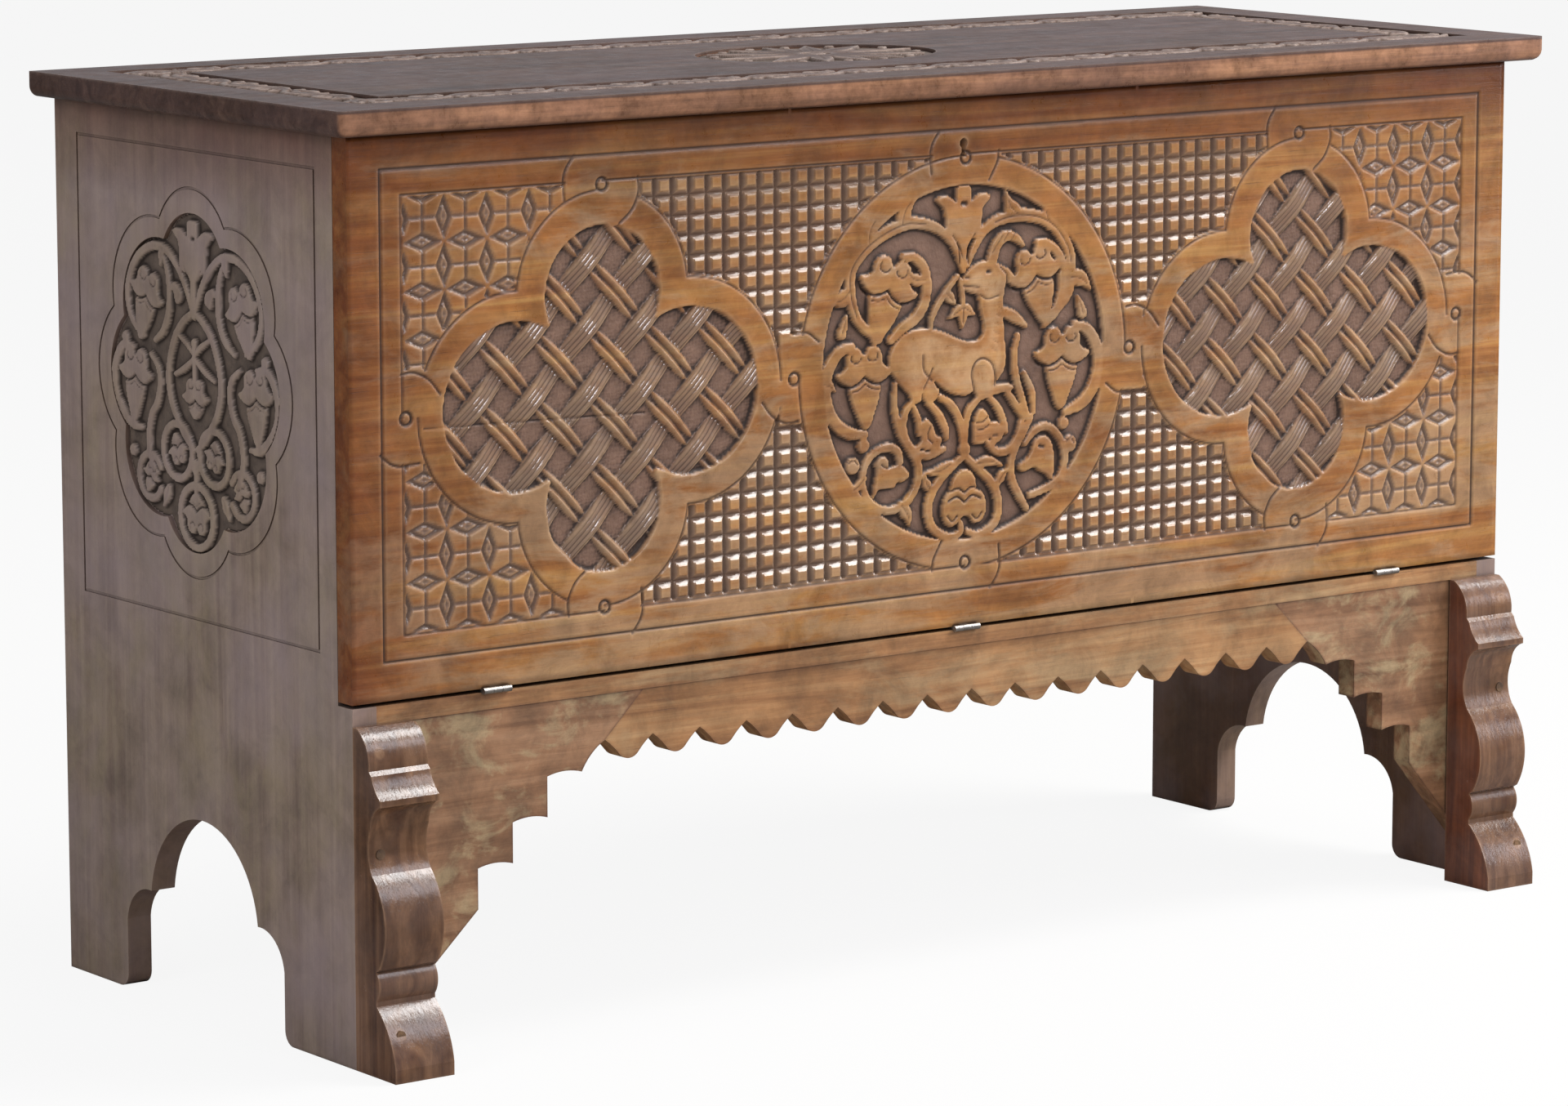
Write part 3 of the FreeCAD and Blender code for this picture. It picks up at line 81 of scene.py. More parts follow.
print("a curve through 4 points has", len(curve([(0, 0), (1, 2), (3, 2), (4, 0)])), "points")

# %% [markdown]
# ## A carved field
# Low relief is a height for each point of the face, so the natural surface is a grid of
# heights. The field keeps two numbers at each grid point: how far inside a raised motif it
# lies, and how deep a tool has scored it. Stems, leaves and bosses add to the first, and
# veining lines to the second. Distances are in millimetres.

# %% The field of heights
FAR, SWELL, SWELL_REACH = 50.0, 0.2, 5


class Field:
    """A grid of a face: the distance inside the raised work, and the depth of scored lines."""

    def __init__(self, us, ws):
        self.us, self.ws = us, ws
        self.inside = np.full((len(us), len(ws)), -FAR)
        self.score = np.zeros((len(us), len(ws)))

    def along(self, line, margin=8):
        """The grid's index ranges near a line, and each point's distance from it and the width there.

        The distance is to the nearest foot on the line's segments, and the width runs evenly between
        their ends."""
        low, high = line[:, :2].min(0) - margin, line[:, :2].max(0) + margin
        i = slice(*np.searchsorted(self.us, (low[0], high[0])))
        j = slice(*np.searchsorted(self.ws, (low[1], high[1])))
        u, w = self.us[i, None], self.ws[None, j]
        best = np.full((u.shape[0], w.shape[1]), FAR)
        wide = np.zeros_like(best)
        for a, b in zip(line[:-1], line[1:]):
            du, dw = b[:2] - a[:2]
            t = np.clip(((u - a[0]) * du + (w - a[1]) * dw) / (du * du + dw * dw + 1e-9), 0, 1)
            away = np.hypot(u - a[0] - t * du, w - a[1] - t * dw)
            nearer = away < best
            best = np.where(nearer, away, best)
            if len(a) > 2:
                wide = np.where(nearer, a[2] + t * (b[2] - a[2]), wide)
        return i, j, best, wide

    def stem(self, points):
        """A round stroke through (u, w, half width): inside it by half width less distance."""
        i, j, away, wide = self.along(curve(points))
        self.inside[i, j] = np.maximum(self.inside[i, j], wide - away)

    def shape(self, points):
        """A filled outline: the distance to it, positive where a ray leaves it an odd number of times."""
        line = curve(points, closed=True)
        loop = np.vstack([line, line[:1]])
        i, j, away, _ = self.along(loop)
        u, w = self.us[i, None], self.ws[None, j]
        odd = np.zeros(away.shape, bool)
        for (ua, wa), (ub, wb) in zip(loop[:-1], loop[1:]):
            if wa != wb:
                odd ^= ((wa > w) != (wb > w)) & (u < (ub - ua) * (w - wa) / (wb - wa) + ua)
        self.inside[i, j] = np.maximum(self.inside[i, j], np.where(odd, away, -away))

    def boss(self, u, w, r):
        """A round button of radius r."""
        self.stem([(u, w, r), (u + 0.1, w, r)])

    def vein(self, points, wide, deep):
        """A V-shaped cut: its depth falls evenly to nothing at a distance of wide."""
        i, j, away, _ = self.along(curve(points), wide + 1)
        self.score[i, j] = np.maximum(self.score[i, j], deep * np.clip(1 - away / wide, 0, 1))

    def cuts(self, table):
        """Every V-shaped cut of a table of (points, wide, deep)."""
        for points, wide, deep in table:
            self.vein(points, wide, deep)

    def relief(self, ground):
        """Ground times one less the ramp of the inside distance, less a fall to the rim and the scores."""
        rise = ease(self.inside + 1.1)
        return ground * (1 - rise) - SWELL * (1 - ease(self.inside / SWELL_REACH)) * rise - self.score


print("a field of 3 x 3 lines:", Field(rule((0, 2, 1)), rule((0, 2, 1))).relief(-4).shape)

# %% [markdown]
# ## From heights to a board
# A grid of heights becomes a closed block: the carved face on top, a flat underside and
# walls round the rim. Extra numbers ride on each point for the finish. One says how hollow it
# is against its surroundings, where dirt gathers, and one how far it stands out, where hands
# rub it pale. Both are the height less its own average over a few grid steps. A third grows
# with depth, and each field adds shares of its own, such as the bare ground.

# %% The carved block
# A block that lies in a sunk field reaches UNDER millimetres below its ground. The underside of
# every block is drawn in by the share DRAW_IN, so that two neighbours' walls never coincide.
UNDER, DRAW_IN = 0.08, 0.0003


def soften(h, reach):
    """The average of a grid over a square of 2 * reach + 1 steps, edge values carried outwards.

    A running total gives the averages along one axis, and the grid is turned to do the other."""
    span = 2 * reach + 1
    for _ in range(2):
        total = np.cumsum(np.pad(h, ((reach + 1, reach), (0, 0)), mode="edge"), axis=0)
        h = ((total[span:] - total[:-span]) / span).T
    return h


def all_corners(points):
    """The cells of a grid whose four corner points are all marked."""
    return points[:-1, :-1] & points[1:, :-1] & points[1:, 1:] & points[:-1, 1:]


def rim_loop(kept):
    """The grid corners round a patch of kept cells, in order, by following its directed border edges."""
    follow = {}
    full = np.pad(kept, 1)
    for i, j in zip(*np.nonzero(kept)):
        corners = [(i, j), (i + 1, j), (i + 1, j + 1), (i, j + 1)]
        beyond = [full[i + 1, j], full[i + 2, j + 1], full[i + 1, j + 2], full[i, j + 1]]
        for k in range(4):
            if not beyond[k]:
                follow[corners[k]] = corners[(k + 1) % 4]
    start = next(iter(follow))
    loop = [start]
    while follow[loop[-1]] != start:
        loop.append(follow[loop[-1]])
    return np.array(loop)


def wear_marks(heights):
    """Hollow, worn and deep shares of each grid point, from the height less its own averages."""
    near = heights - soften(heights, 2)
    wide = heights - soften(heights, 6)
    return {"hollow": np.clip(-0.55 * near - 0.28 * wide, 0, 1),
            "worn": np.clip(0.9 * near + 0.25 * wide, 0, 1), "depth": ease((-heights - 1.6) / 2.2)}


def carved_block(name, us, ws, heights, base, place, marks, kept=None, turn=False, crisp=None):
    """A closed block over the kept cells: top at the heights, underside at base, walls round the rim.

    place takes u, w and height in millimetres to x, y, z in the frame. marks holds a grid of shares for
    each attribute, turn swaps the faces' sense, and crisp names cells whose facets meet in sharp edges."""
    nu, nw = heights.shape
    if kept is None:
        kept = np.ones((nu - 1, nw - 1), bool)
    number = np.arange(nu * nw).reshape(nu, nw)
    cells = np.stack([number[:-1, :-1], number[1:, :-1], number[1:, 1:], number[:-1, 1:]], -1)[kept]
    loop = rim_loop(kept)
    rim = number[loop[:, 0], loop[:, 1]]
    used = np.unique(cells)
    new = np.full(nu * nw, -1)
    new[used] = np.arange(len(used))
    u, w = np.broadcast_to(us[:, None], heights.shape), np.broadcast_to(ws[None], heights.shape)
    top = place(u.ravel()[used], w.ravel()[used], heights.ravel()[used])
    drawn_in = [(1 - DRAW_IN) * grid.ravel()[rim] + DRAW_IN * grid[nu // 2, nw // 2] for grid in (u, w)]
    low = place(*drawn_in, np.full(len(rim), float(base)))
    count = len(used)
    under = count + np.arange(len(rim))
    walls = np.stack([new[rim], under, np.roll(under, -1), np.roll(new[rim], -1)], -1)
    quads = np.vstack([new[cells], walls])
    faces = quads.tolist() + [under[::-1].tolist()]
    if turn:
        faces = [face[::-1] for face in faces]
    mesh = bpy.data.meshes.new(name)
    mesh.from_pydata((np.vstack([top, low]) / 1000).tolist(), [], faces)
    smooth = np.arange(len(faces)) < len(cells)
    if crisp is not None:
        smooth[:len(cells)] = ~crisp[kept]
    mesh.polygons.foreach_set("use_smooth", smooth)
    for label, grid in marks.items():
        values = np.zeros(count + len(rim), np.float32)
        values[:count] = grid.ravel()[used]
        mesh.attributes.new(label, "FLOAT", "POINT").data.foreach_set("value", values)
    mesh.validate()
    block = bpy.data.objects.new(name, mesh)
    bpy.context.scene.collection.objects.link(block)
    print(name, "triangles:", 2 * len(quads) + len(rim) - 2)
    return block


print("corners round a patch of 2 x 2 cells:", len(rim_loop(np.ones((2, 2), bool))))

# %% [markdown]
# ## The front: bands, knots and frames
# Two quatrefoils and a ring are made of one plain band each, and where a band meets its
# neighbour the two pass over and under each other in a small knot with a ringed eye. A
# lobed outline is the union of four circles and a core, so its distance is the greatest of
# radius less distance. All of it is at the face's level, and only fine V cuts part the bands.

# %% Outlines of the front
# In millimetres, in the plane of the face: places across and up, and radii. A lobed line is the
# rise and radius of its upper and lower circles, the reach and radius of its side circles, and a core.
MIDDLE = 506.8
FOIL = 363.0
FIELD_HALF, FIELD_LOW, FIELD_HIGH = 551.0, 337.8, 679.0
LINE_HALF, LINE_LOW, LINE_HIGH = 570.0, 318.5, 699.5
FOIL_HOLE, FOIL_EDGE = (83, 55, 83, 68, 80), (83, 82, 83, 91, 117)
RING_HOLE, RING_EDGE, RING_KNOT = 147.4, 170.7, 172.5
DIAPER_FIRST, DIAPER_PITCH, FACET = (62.0, 679.0), (17.0, 16.24), 4.6
STAR_PITCH, STAR_UPPER, STAR_LOWER = 39.6, (679.0, 37.6), (337.9, 39.7)
KEYHOLE = -3.4, 688.0


def faceted_rule(first, pitch, board, field, keyhole, count):
    """Grid lines over the board: the buttons' own in the field, even ones at the keyhole and the edges.

    Each button has 3 steps over each facet and 6 over its flat top."""
    share = np.concatenate([np.linspace(0, FACET, 4), np.linspace(FACET, pitch - FACET, 7)[1:],
                            np.linspace(pitch - FACET, pitch, 4)[1:-1]])
    lines = (first + pitch * np.arange(-80, 80)[:, None] + share).ravel()
    below, above = (lines[(lines > low + 0.3) & (lines < high - 0.3)]
                    for low, high in zip((field[0], keyhole[1]), (keyhole[0], field[1])))
    return np.concatenate([np.linspace(board[0], field[0], 6), below, np.linspace(*keyhole, count), above,
                           np.linspace(field[1], board[1], 6)])


DIVIDE = DIAPER_FIRST[0] + 7 * DIAPER_PITCH[0]
xs = faceted_rule(DIAPER_FIRST[0], DIAPER_PITCH[0], (-600, 600), (-575, 575), (-9, 3), 21)
zs = faceted_rule(DIAPER_FIRST[1], DIAPER_PITCH[1], (288, 725.5), (315, 702), (674.5, 695), 30)
X, Z = xs[:, None], zs[None, :]
front = Field(xs, zs)


def lobes(centre, up, up_radius, side, side_radius, core):
    """Distance inside the union of four circles round a centre and a core that fills the middle."""
    dx, dz = np.abs(X - centre), np.abs(Z - MIDDLE)
    around = np.maximum(up_radius - np.hypot(dx, dz - up), side_radius - np.hypot(dx - side, dz))
    return np.maximum(around, core - np.hypot(dx, dz))


foil_in, foil_out = (np.maximum(lobes(-FOIL, *line), lobes(FOIL, *line)) for line in (FOIL_HOLE, FOIL_EDGE))
from_middle = np.hypot(X, Z - MIDDLE)
ring_in, ring_out = RING_HOLE - from_middle, RING_EDGE - from_middle
strap = np.minimum(FIELD_HALF - np.abs(X), np.minimum(Z - FIELD_LOW, FIELD_HIGH - Z))
print("front grid:", front.inside.shape)

# %% [markdown]
# ## Knots
# Every knot is the same drawing turned to face outwards at a compass point of its band. In
# its own axes t runs clockwise and n outwards. One cut crosses the neighbour, one crosses
# the band itself, and the patch between them stays flat.

# %% The knots
CROSS_NEIGHBOUR = [(-27, 21), (-34, 12), (-37, 4), (-37, -3), (-36, -15)]
CROSS_FOIL = [(34, 1), (35, -8), (33, -16), (27, -26), (16, -35)]
CROSS_RING = [(34, 1), (33, -7), (30, -13), (24, -23)]
CROSS_ROUND = [(-37, -3), (-37, 10), (-29, 22)]
CUT_WIDE, CUT_DEEP, KNOT_HALF, EYE = 1.6, 1.5, 35, (0.5, 3)
patch = np.full(front.inside.shape, FAR)
own_line, ring_line, strap_line = (np.ones(front.inside.shape) for _ in range(3))


def knot(x, z, out, crossings, own, neighbour, reach=22):
    """Cut a knot and its ringed eye, (t, n) at x + t * right + n * out, and clear the lines under it."""
    right = (out[1], -out[0])
    for points in crossings:
        front.vein([(x + t * right[0] + n * out[0], z + t * right[1] + n * out[1]) for t, n in points],
                   wide=1.7, deep=1.7)
    t = (X - x) * right[0] + (Z - z) * right[1]
    n = (X - x) * out[0] + (Z - z) * out[1]
    np.minimum(patch, np.maximum(np.abs(t) - KNOT_HALF, np.maximum(-reach - n, n - 2)), out=patch)
    near = (np.abs(t) < KNOT_HALF) & (np.abs(n) < reach + 6)
    own[near & (t > 0)] = 0
    neighbour[near & (t < 0)] = 0
    off_eye = np.hypot(X - x + EYE[0] * right[0] + EYE[1] * out[0],
                       Z - z + EYE[0] * right[1] + EYE[1] * out[1])
    front.score[off_eye < 3.5] = 0
    np.maximum(front.score, 2.2 * np.clip(1 - np.abs(off_eye - 5.0) / 1.9, 0, 1), out=front.score)


for side in (-1, 1):
    for x, z, out in ((side * FOIL, FIELD_HIGH, (0, 1)), (side * FOIL, FIELD_LOW, (0, -1)),
                      (side * FIELD_HALF, MIDDLE, (side, 0))):
        knot(x, z, out, (CROSS_NEIGHBOUR, CROSS_FOIL), own_line, strap_line)
    knot(side * RING_KNOT, MIDDLE, (-side, 0), (CROSS_ROUND, CROSS_FOIL), own_line, ring_line, 16)
for z, out in ((FIELD_HIGH, (0, 1)), (FIELD_LOW, (0, -1))):
    knot(0, z, out, (CROSS_NEIGHBOUR, CROSS_RING), ring_line, strap_line)
cut = np.maximum(np.maximum(own_line * (1 - np.abs(foil_out) / CUT_WIDE) * (strap > -1),
                            ring_line * (1 - np.abs(ring_out) / CUT_WIDE) * (strap > -1)),
                 strap_line * (1 - np.abs(strap) / CUT_WIDE))
front.score = np.maximum(front.score, CUT_DEEP * np.clip(cut, 0, 1))
frame_line = np.minimum(LINE_HALF - np.abs(X), np.minimum(Z - LINE_LOW, LINE_HIGH - Z))
front.score = np.maximum(front.score, CUT_DEEP * np.clip(1.7 - np.abs(frame_line), 0, 1))
key_x, key_z = X - KEYHOLE[0], Z - KEYHOLE[1]
keyhole = np.maximum(3.5 - np.hypot(key_x, key_z), 1.6 - np.maximum(np.abs(key_x), np.abs(key_z + 5) - 3.4))
print("cut points:", int((front.score > 0.3).sum()))

# %% [markdown]
# ## Chip-carved grounds
# Between the foils the ground is a diaper: V cuts crossed at right angles leave small flat
# buttons. In the outer corners it is a net of sunk diamonds, one along every side of a
# square, each with a smaller diamond left standing in it, and a cross of V lines in every
# cell. Both come from distances to the nearest line of a lattice.

# %% Diaper and star net
def lattice(value, first, pitch):
    """Distance to the nearest line of a row of lines, and the place between two lines from 0 to 1."""
    share = ((value - first) / pitch) % 1.0
    return np.minimum(share, 1 - share) * pitch, share


DIAPER_DEEP, DIAMOND_HALF = 4.2, 8.6
groove_x, groove_z = (lattice(axis, first, pitch)[0]
                      for axis, first, pitch in zip((X, Z), DIAPER_FIRST, DIAPER_PITCH))
diaper = -DIAPER_DEEP * (1 - np.clip(np.minimum(groove_x, groove_z) / FACET, 0, 1))
star_first, star_pitch = (np.where(Z > MIDDLE, *pair) for pair in zip(STAR_UPPER, STAR_LOWER))
beside_x, share_x = lattice(np.abs(X), FIELD_HALF, STAR_PITCH)
beside_z, share_z = lattice(Z, star_first, star_pitch)


def diamond(away, share):
    """A sunk diamond: its measure is 1 on the outline, the V deepest at 0.62, and inside it rises again."""
    measure = away / DIAMOND_HALF + np.abs(share - 0.5) * 2
    return np.interp(measure, [0, 0.12, 0.36, 0.62, 1.0], [2.4, 2.0, 0.6, 3.8, 0.0])


star = -np.maximum(diamond(beside_x, share_z), diamond(beside_z, share_x))
cross_x = np.abs(share_x - 0.5) * STAR_PITCH
cross_z = np.abs(share_z - 0.5) * star_pitch
star = np.minimum(star, -2.1 * np.clip(1 - np.minimum(cross_x, cross_z) / 1.9, 0, 1))
ground_in = np.minimum(np.minimum(strap, -foil_out), np.minimum(-ring_out, patch)) - 1.0
print("diaper depth:", round(float(-diaper.min()), 2), "star depth:", round(float(-star.min()), 2))

# %% [markdown]
# ## Woven straps in the quatrefoils
# The two quatrefoils are filled with a plain weave set at 45 degrees. Pairs of round ribs
# run down to the right, broad straps with fine grooves run up to the right, and each dips
# under the other by a cosine of the place along it. The surface is the higher of the two.

# %% The weave
RIB_HALF, STRAP_HALF, WEAVE_LEVEL, WEAVE_SWING, WEAVE_GROUND = 7.4, 8.8, -4.9, 2.2, -4.6
LEFT_WEAVE, RIGHT_WEAVE = (-402.5, 538, 37.1), (332.5, 537, 36.3)


def weave(centre_x, centre_z, pitch):
    """Heights, and the shares that stand and that are strap: profiles ride on cosines over gritty ground."""
    a = ((X - centre_x) - (Z - centre_z)) / math.sqrt(2)
    b = ((X - centre_x) + (Z - centre_z)) / math.sqrt(2)
    row, column = np.round(b / pitch), np.round(a / pitch)
    off_rib, off_strap = np.abs(b - row * pitch), np.abs(a - column * pitch)
    over = WEAVE_LEVEL + WEAVE_SWING * np.cos(np.pi * a / pitch) * np.where(row % 2 == 0, 1, -1)
    under = WEAVE_LEVEL - WEAVE_SWING * np.cos(np.pi * b / pitch) * np.where(column % 2 == 0, 1, -1)
    ridge = 3.2 * np.clip(1 - np.abs(off_rib - 4.1) / 3.3, 0, 1) ** 0.8
    furrows = 0.5 * np.abs(np.sin(np.pi * (off_strap + 2.1) / 4.2)) ** 0.6
    shoulder = 2.4 * ease((STRAP_HALF - off_strap) / 1.4)
    rib = np.where(off_rib < RIB_HALF, over + ridge, -FAR)
    flat = np.where(off_strap < STRAP_HALF, under + shoulder + furrows, -FAR)
    grit = 0.3 * np.sin(1.9 * a + 1.3 * np.sin(0.7 * b)) * np.sin(1.7 * b)
    standing = np.maximum(rib, flat)
    return (np.maximum(standing, WEAVE_GROUND + grit), ease((standing - WEAVE_GROUND) / 0.8),
            (flat > rib) * ease((flat - WEAVE_GROUND - 0.2) / 0.8))


woven, stands, strapped = (np.where(X < 0, one, other)
                           for one, other in zip(weave(*LEFT_WEAVE), weave(*RIGHT_WEAVE)))
print("weave from", round(float(woven.min()), 2), "to", round(float(woven.max()), 2))

# %% [markdown]
# ## The medallion
# A goat stands among scrolling stems that end in palmettes, under a tulip. The beast is a
# filled outline with its joints cut in by V lines, and each stem is a stroke whose width
# swells and tapers, as one sweep of a gouge on each side leaves it.

# %% The goat
def goat(field):
    """Body, legs, head and horn as filled outlines, then the cuts that part them."""
    field.shape([(-2.9, 575), (3.8, 583), (13.5, 588), (23, 589), (34.6, 586), (42, 581), (42, 570),
                 (39.4, 556), (39.4, 545), (41, 525), (43, 508), (40, 497), (33, 489), (34, 486), (48, 485),
                 (50, 481), (31, 478), (19, 475), (13.5, 476), (9.6, 483), (2, 480), (-11.5, 482),
                 (-23, 488), (-32.7, 495), (-30, 489), (-27, 486), (-32, 478), (-41, 478), (-44, 484),
                 (-45, 487), (-46, 479), (-54, 478), (-58, 486), (-66, 493), (-74, 502), (-79, 512),
                 (-77, 521), (-71, 529), (-60, 536), (-44, 538), (-31, 536), (-19, 532), (-8, 527),
                 (4, 523.5), (13.5, 524), (19, 529), (20, 537), (17, 546), (15, 556), (13.5, 562),
                 (7.7, 564), (0, 567), (-2.9, 571)])
    field.stem([(28, 590, 5), (33, 602, 4.6), (43, 609, 4.2), (54, 606, 3), (61, 600, 1.6)])
    field.stem([(41, 546, 4), (52, 541, 4.5), (64, 533, 2)])
    field.shape([(38, 583), (47, 580), (52, 572), (45, 570), (39, 575)])
    table = [
        ([(-2, 570.6), (5, 569.6), (13.5, 568.7)], 1.4, 1.4),
        ([(15, 562), (23, 558), (34.6, 560)], 1.4, 1.2),
        ([(9.6, 483), (6.7, 496.5), (10.6, 506), (19, 509), (28, 504), (31.7, 493), (31, 486)], 1.6, 1.6),
        ([(-44, 516), (-43, 504), (-35, 495)], 1.7, 1.5), ([(-43, 489), (-38, 497), (-34, 505)], 1.5, 1.3),
        ([(36, 584), (43, 577), (43, 568)], 1.4, 1.4), ([(22.7, 580.5), (25.3, 580.5)], 2.2, 2.2),
        ([(0.2, 577), (2.8, 577)], 2.2, 1.2)]
    table += [([(u - 3, w - 4), (u + 3, w + 4)], 1.2, 0.9)
              for u, w in ((31, 600), (36, 606), (43, 609), (50, 608))]
    table += [([(33 - 1.2 * k, 552 - 7 * k), (38 - k, 549 - 7 * k)], 1.1, 0.6) for k in range(6)]
    field.cuts(table)


goat(front)
print("goat grid points:", int((front.inside > 0).sum()))

# %% [markdown]
# ## Stems, palmettes and buds
# A palmette is one motif used many times: two wings, each with a knob, over a tapering cup.
# It is drawn once about its own foot and set down turned and scaled.

# %% Leaf motifs
def set_down(points, foot, angle, scale, flip=1):
    """Turn points by an angle from upright, scale and move them to a foot. A flip of -1 mirrors them."""
    p = np.asarray(points, float)
    c, s = math.cos(math.radians(angle)), math.sin(math.radians(angle))
    return np.stack([(flip * p[:, 0] * c - p[:, 1] * s) * scale + foot[0],
                     (flip * p[:, 0] * s + p[:, 1] * c) * scale + foot[1]], -1)


def palmette(field, foot, angle, scale, drop=1.0):
    """Two wings with pointed tips, each under a knob cut by a hook, over a cup parted by two cuts."""
    wing = [(0, 0.5), (5, -3.5), (14, -6), (22, -4), (29, 3), (23, 5.8), (18.8, 10), (18.4, 16), (16, 21.5),
            (10.5, 24.5), (5, 23.5), (2, 19), (0, 16)]
    cuts = (([(13, 19), (13.6, 15), (10, 12.6), (5.5, 13.2), (3.4, 16)], 1.1, 1.8),
            ([(0, -0.5), (6, -5), (14, -7.4), (22, -5.4), (25, -3)], 1.6, 3.0),
            ([(0, -6), (7, -10.5), (14, -11.5)], 1.0, 1.5))
    cup = [(0, -2), (8, -6), (15.5, -6), (15.5, -13), (13, -22), (9, -31), (5, -40), (0, -44)]
    cup = [(u, w if w > -7 else -6 + (w + 6) * drop) for u, w in cup]
    field.shape(set_down(cup + [(-u, w) for u, w in cup[-2:0:-1]], foot, angle, scale))
    for flip in (-1, 1):
        field.shape(set_down(wing, foot, angle, scale, flip)[::flip])
        field.cuts((set_down(line, foot, angle, scale, flip), wide, deep) for line, wide, deep in cuts)


def tulip(field, foot, height, half, knob):
    """A cup with two turned-out tips and a bud between them, on a stem."""
    cup = [(0.06, 0), (0.1, 0.3), (0.3, 0.42), (0.62, 0.5), (0.66, 0.7), (0.72, 0.86), (1.0, 1.0),
           (0.6, 1.03), (0.28, 0.94), (0, 0.9)]

    def at(u, w):
        """The point at shares of the flower's half width and height."""
        return foot[0] + half * u, foot[1] + height * w

    field.shape([at(u, w) for u, w in cup + [(-u, w) for u, w in cup[-2:0:-1]]])
    field.boss(*at(0, 1.03), knob)
    field.vein([at(-1.5 / half, 0.92), at(1.5 / half, 0.92)], 3.0, 2.4)
    for side in (-1, 1):
        field.vein([at(side * u, w) for u, w in ((0.16, 0.1), (0.2, 0.34), (0.42, 0.5))], 1.3, 1.2)


def leaf(field, root, tip, half, bend=0.0):
    """A pointed leaf from root to tip with a middle vein, bowed sideways by a share of its length."""
    (u0, w0), (u1, w1) = root, tip
    du, dw = u1 - u0, w1 - w0
    rows = [(t, half * math.sin(math.pi * min(1, 0.9 * t + 0.18)) + 0.6) for t in (0, 0.25, 0.5, 0.75, 1)]
    line = [(u0 + du * t - dw * bend * math.sin(math.pi * t),
             w0 + dw * t + du * bend * math.sin(math.pi * t), h) for t, h in rows]
    field.stem(line)
    field.vein([point[:2] for point in line[:4]], 1.2, 0.9)


def hoop(field, u, w, r, half, start=0, sweep=360):
    """A ring or part of one: points on a circle, joined by a stroke."""
    turns = np.radians(np.linspace(start, start + sweep, max(6, int(abs(sweep) / 24))))
    field.stem([(u + r * math.cos(a), w + r * math.sin(a), half) for a in turns])


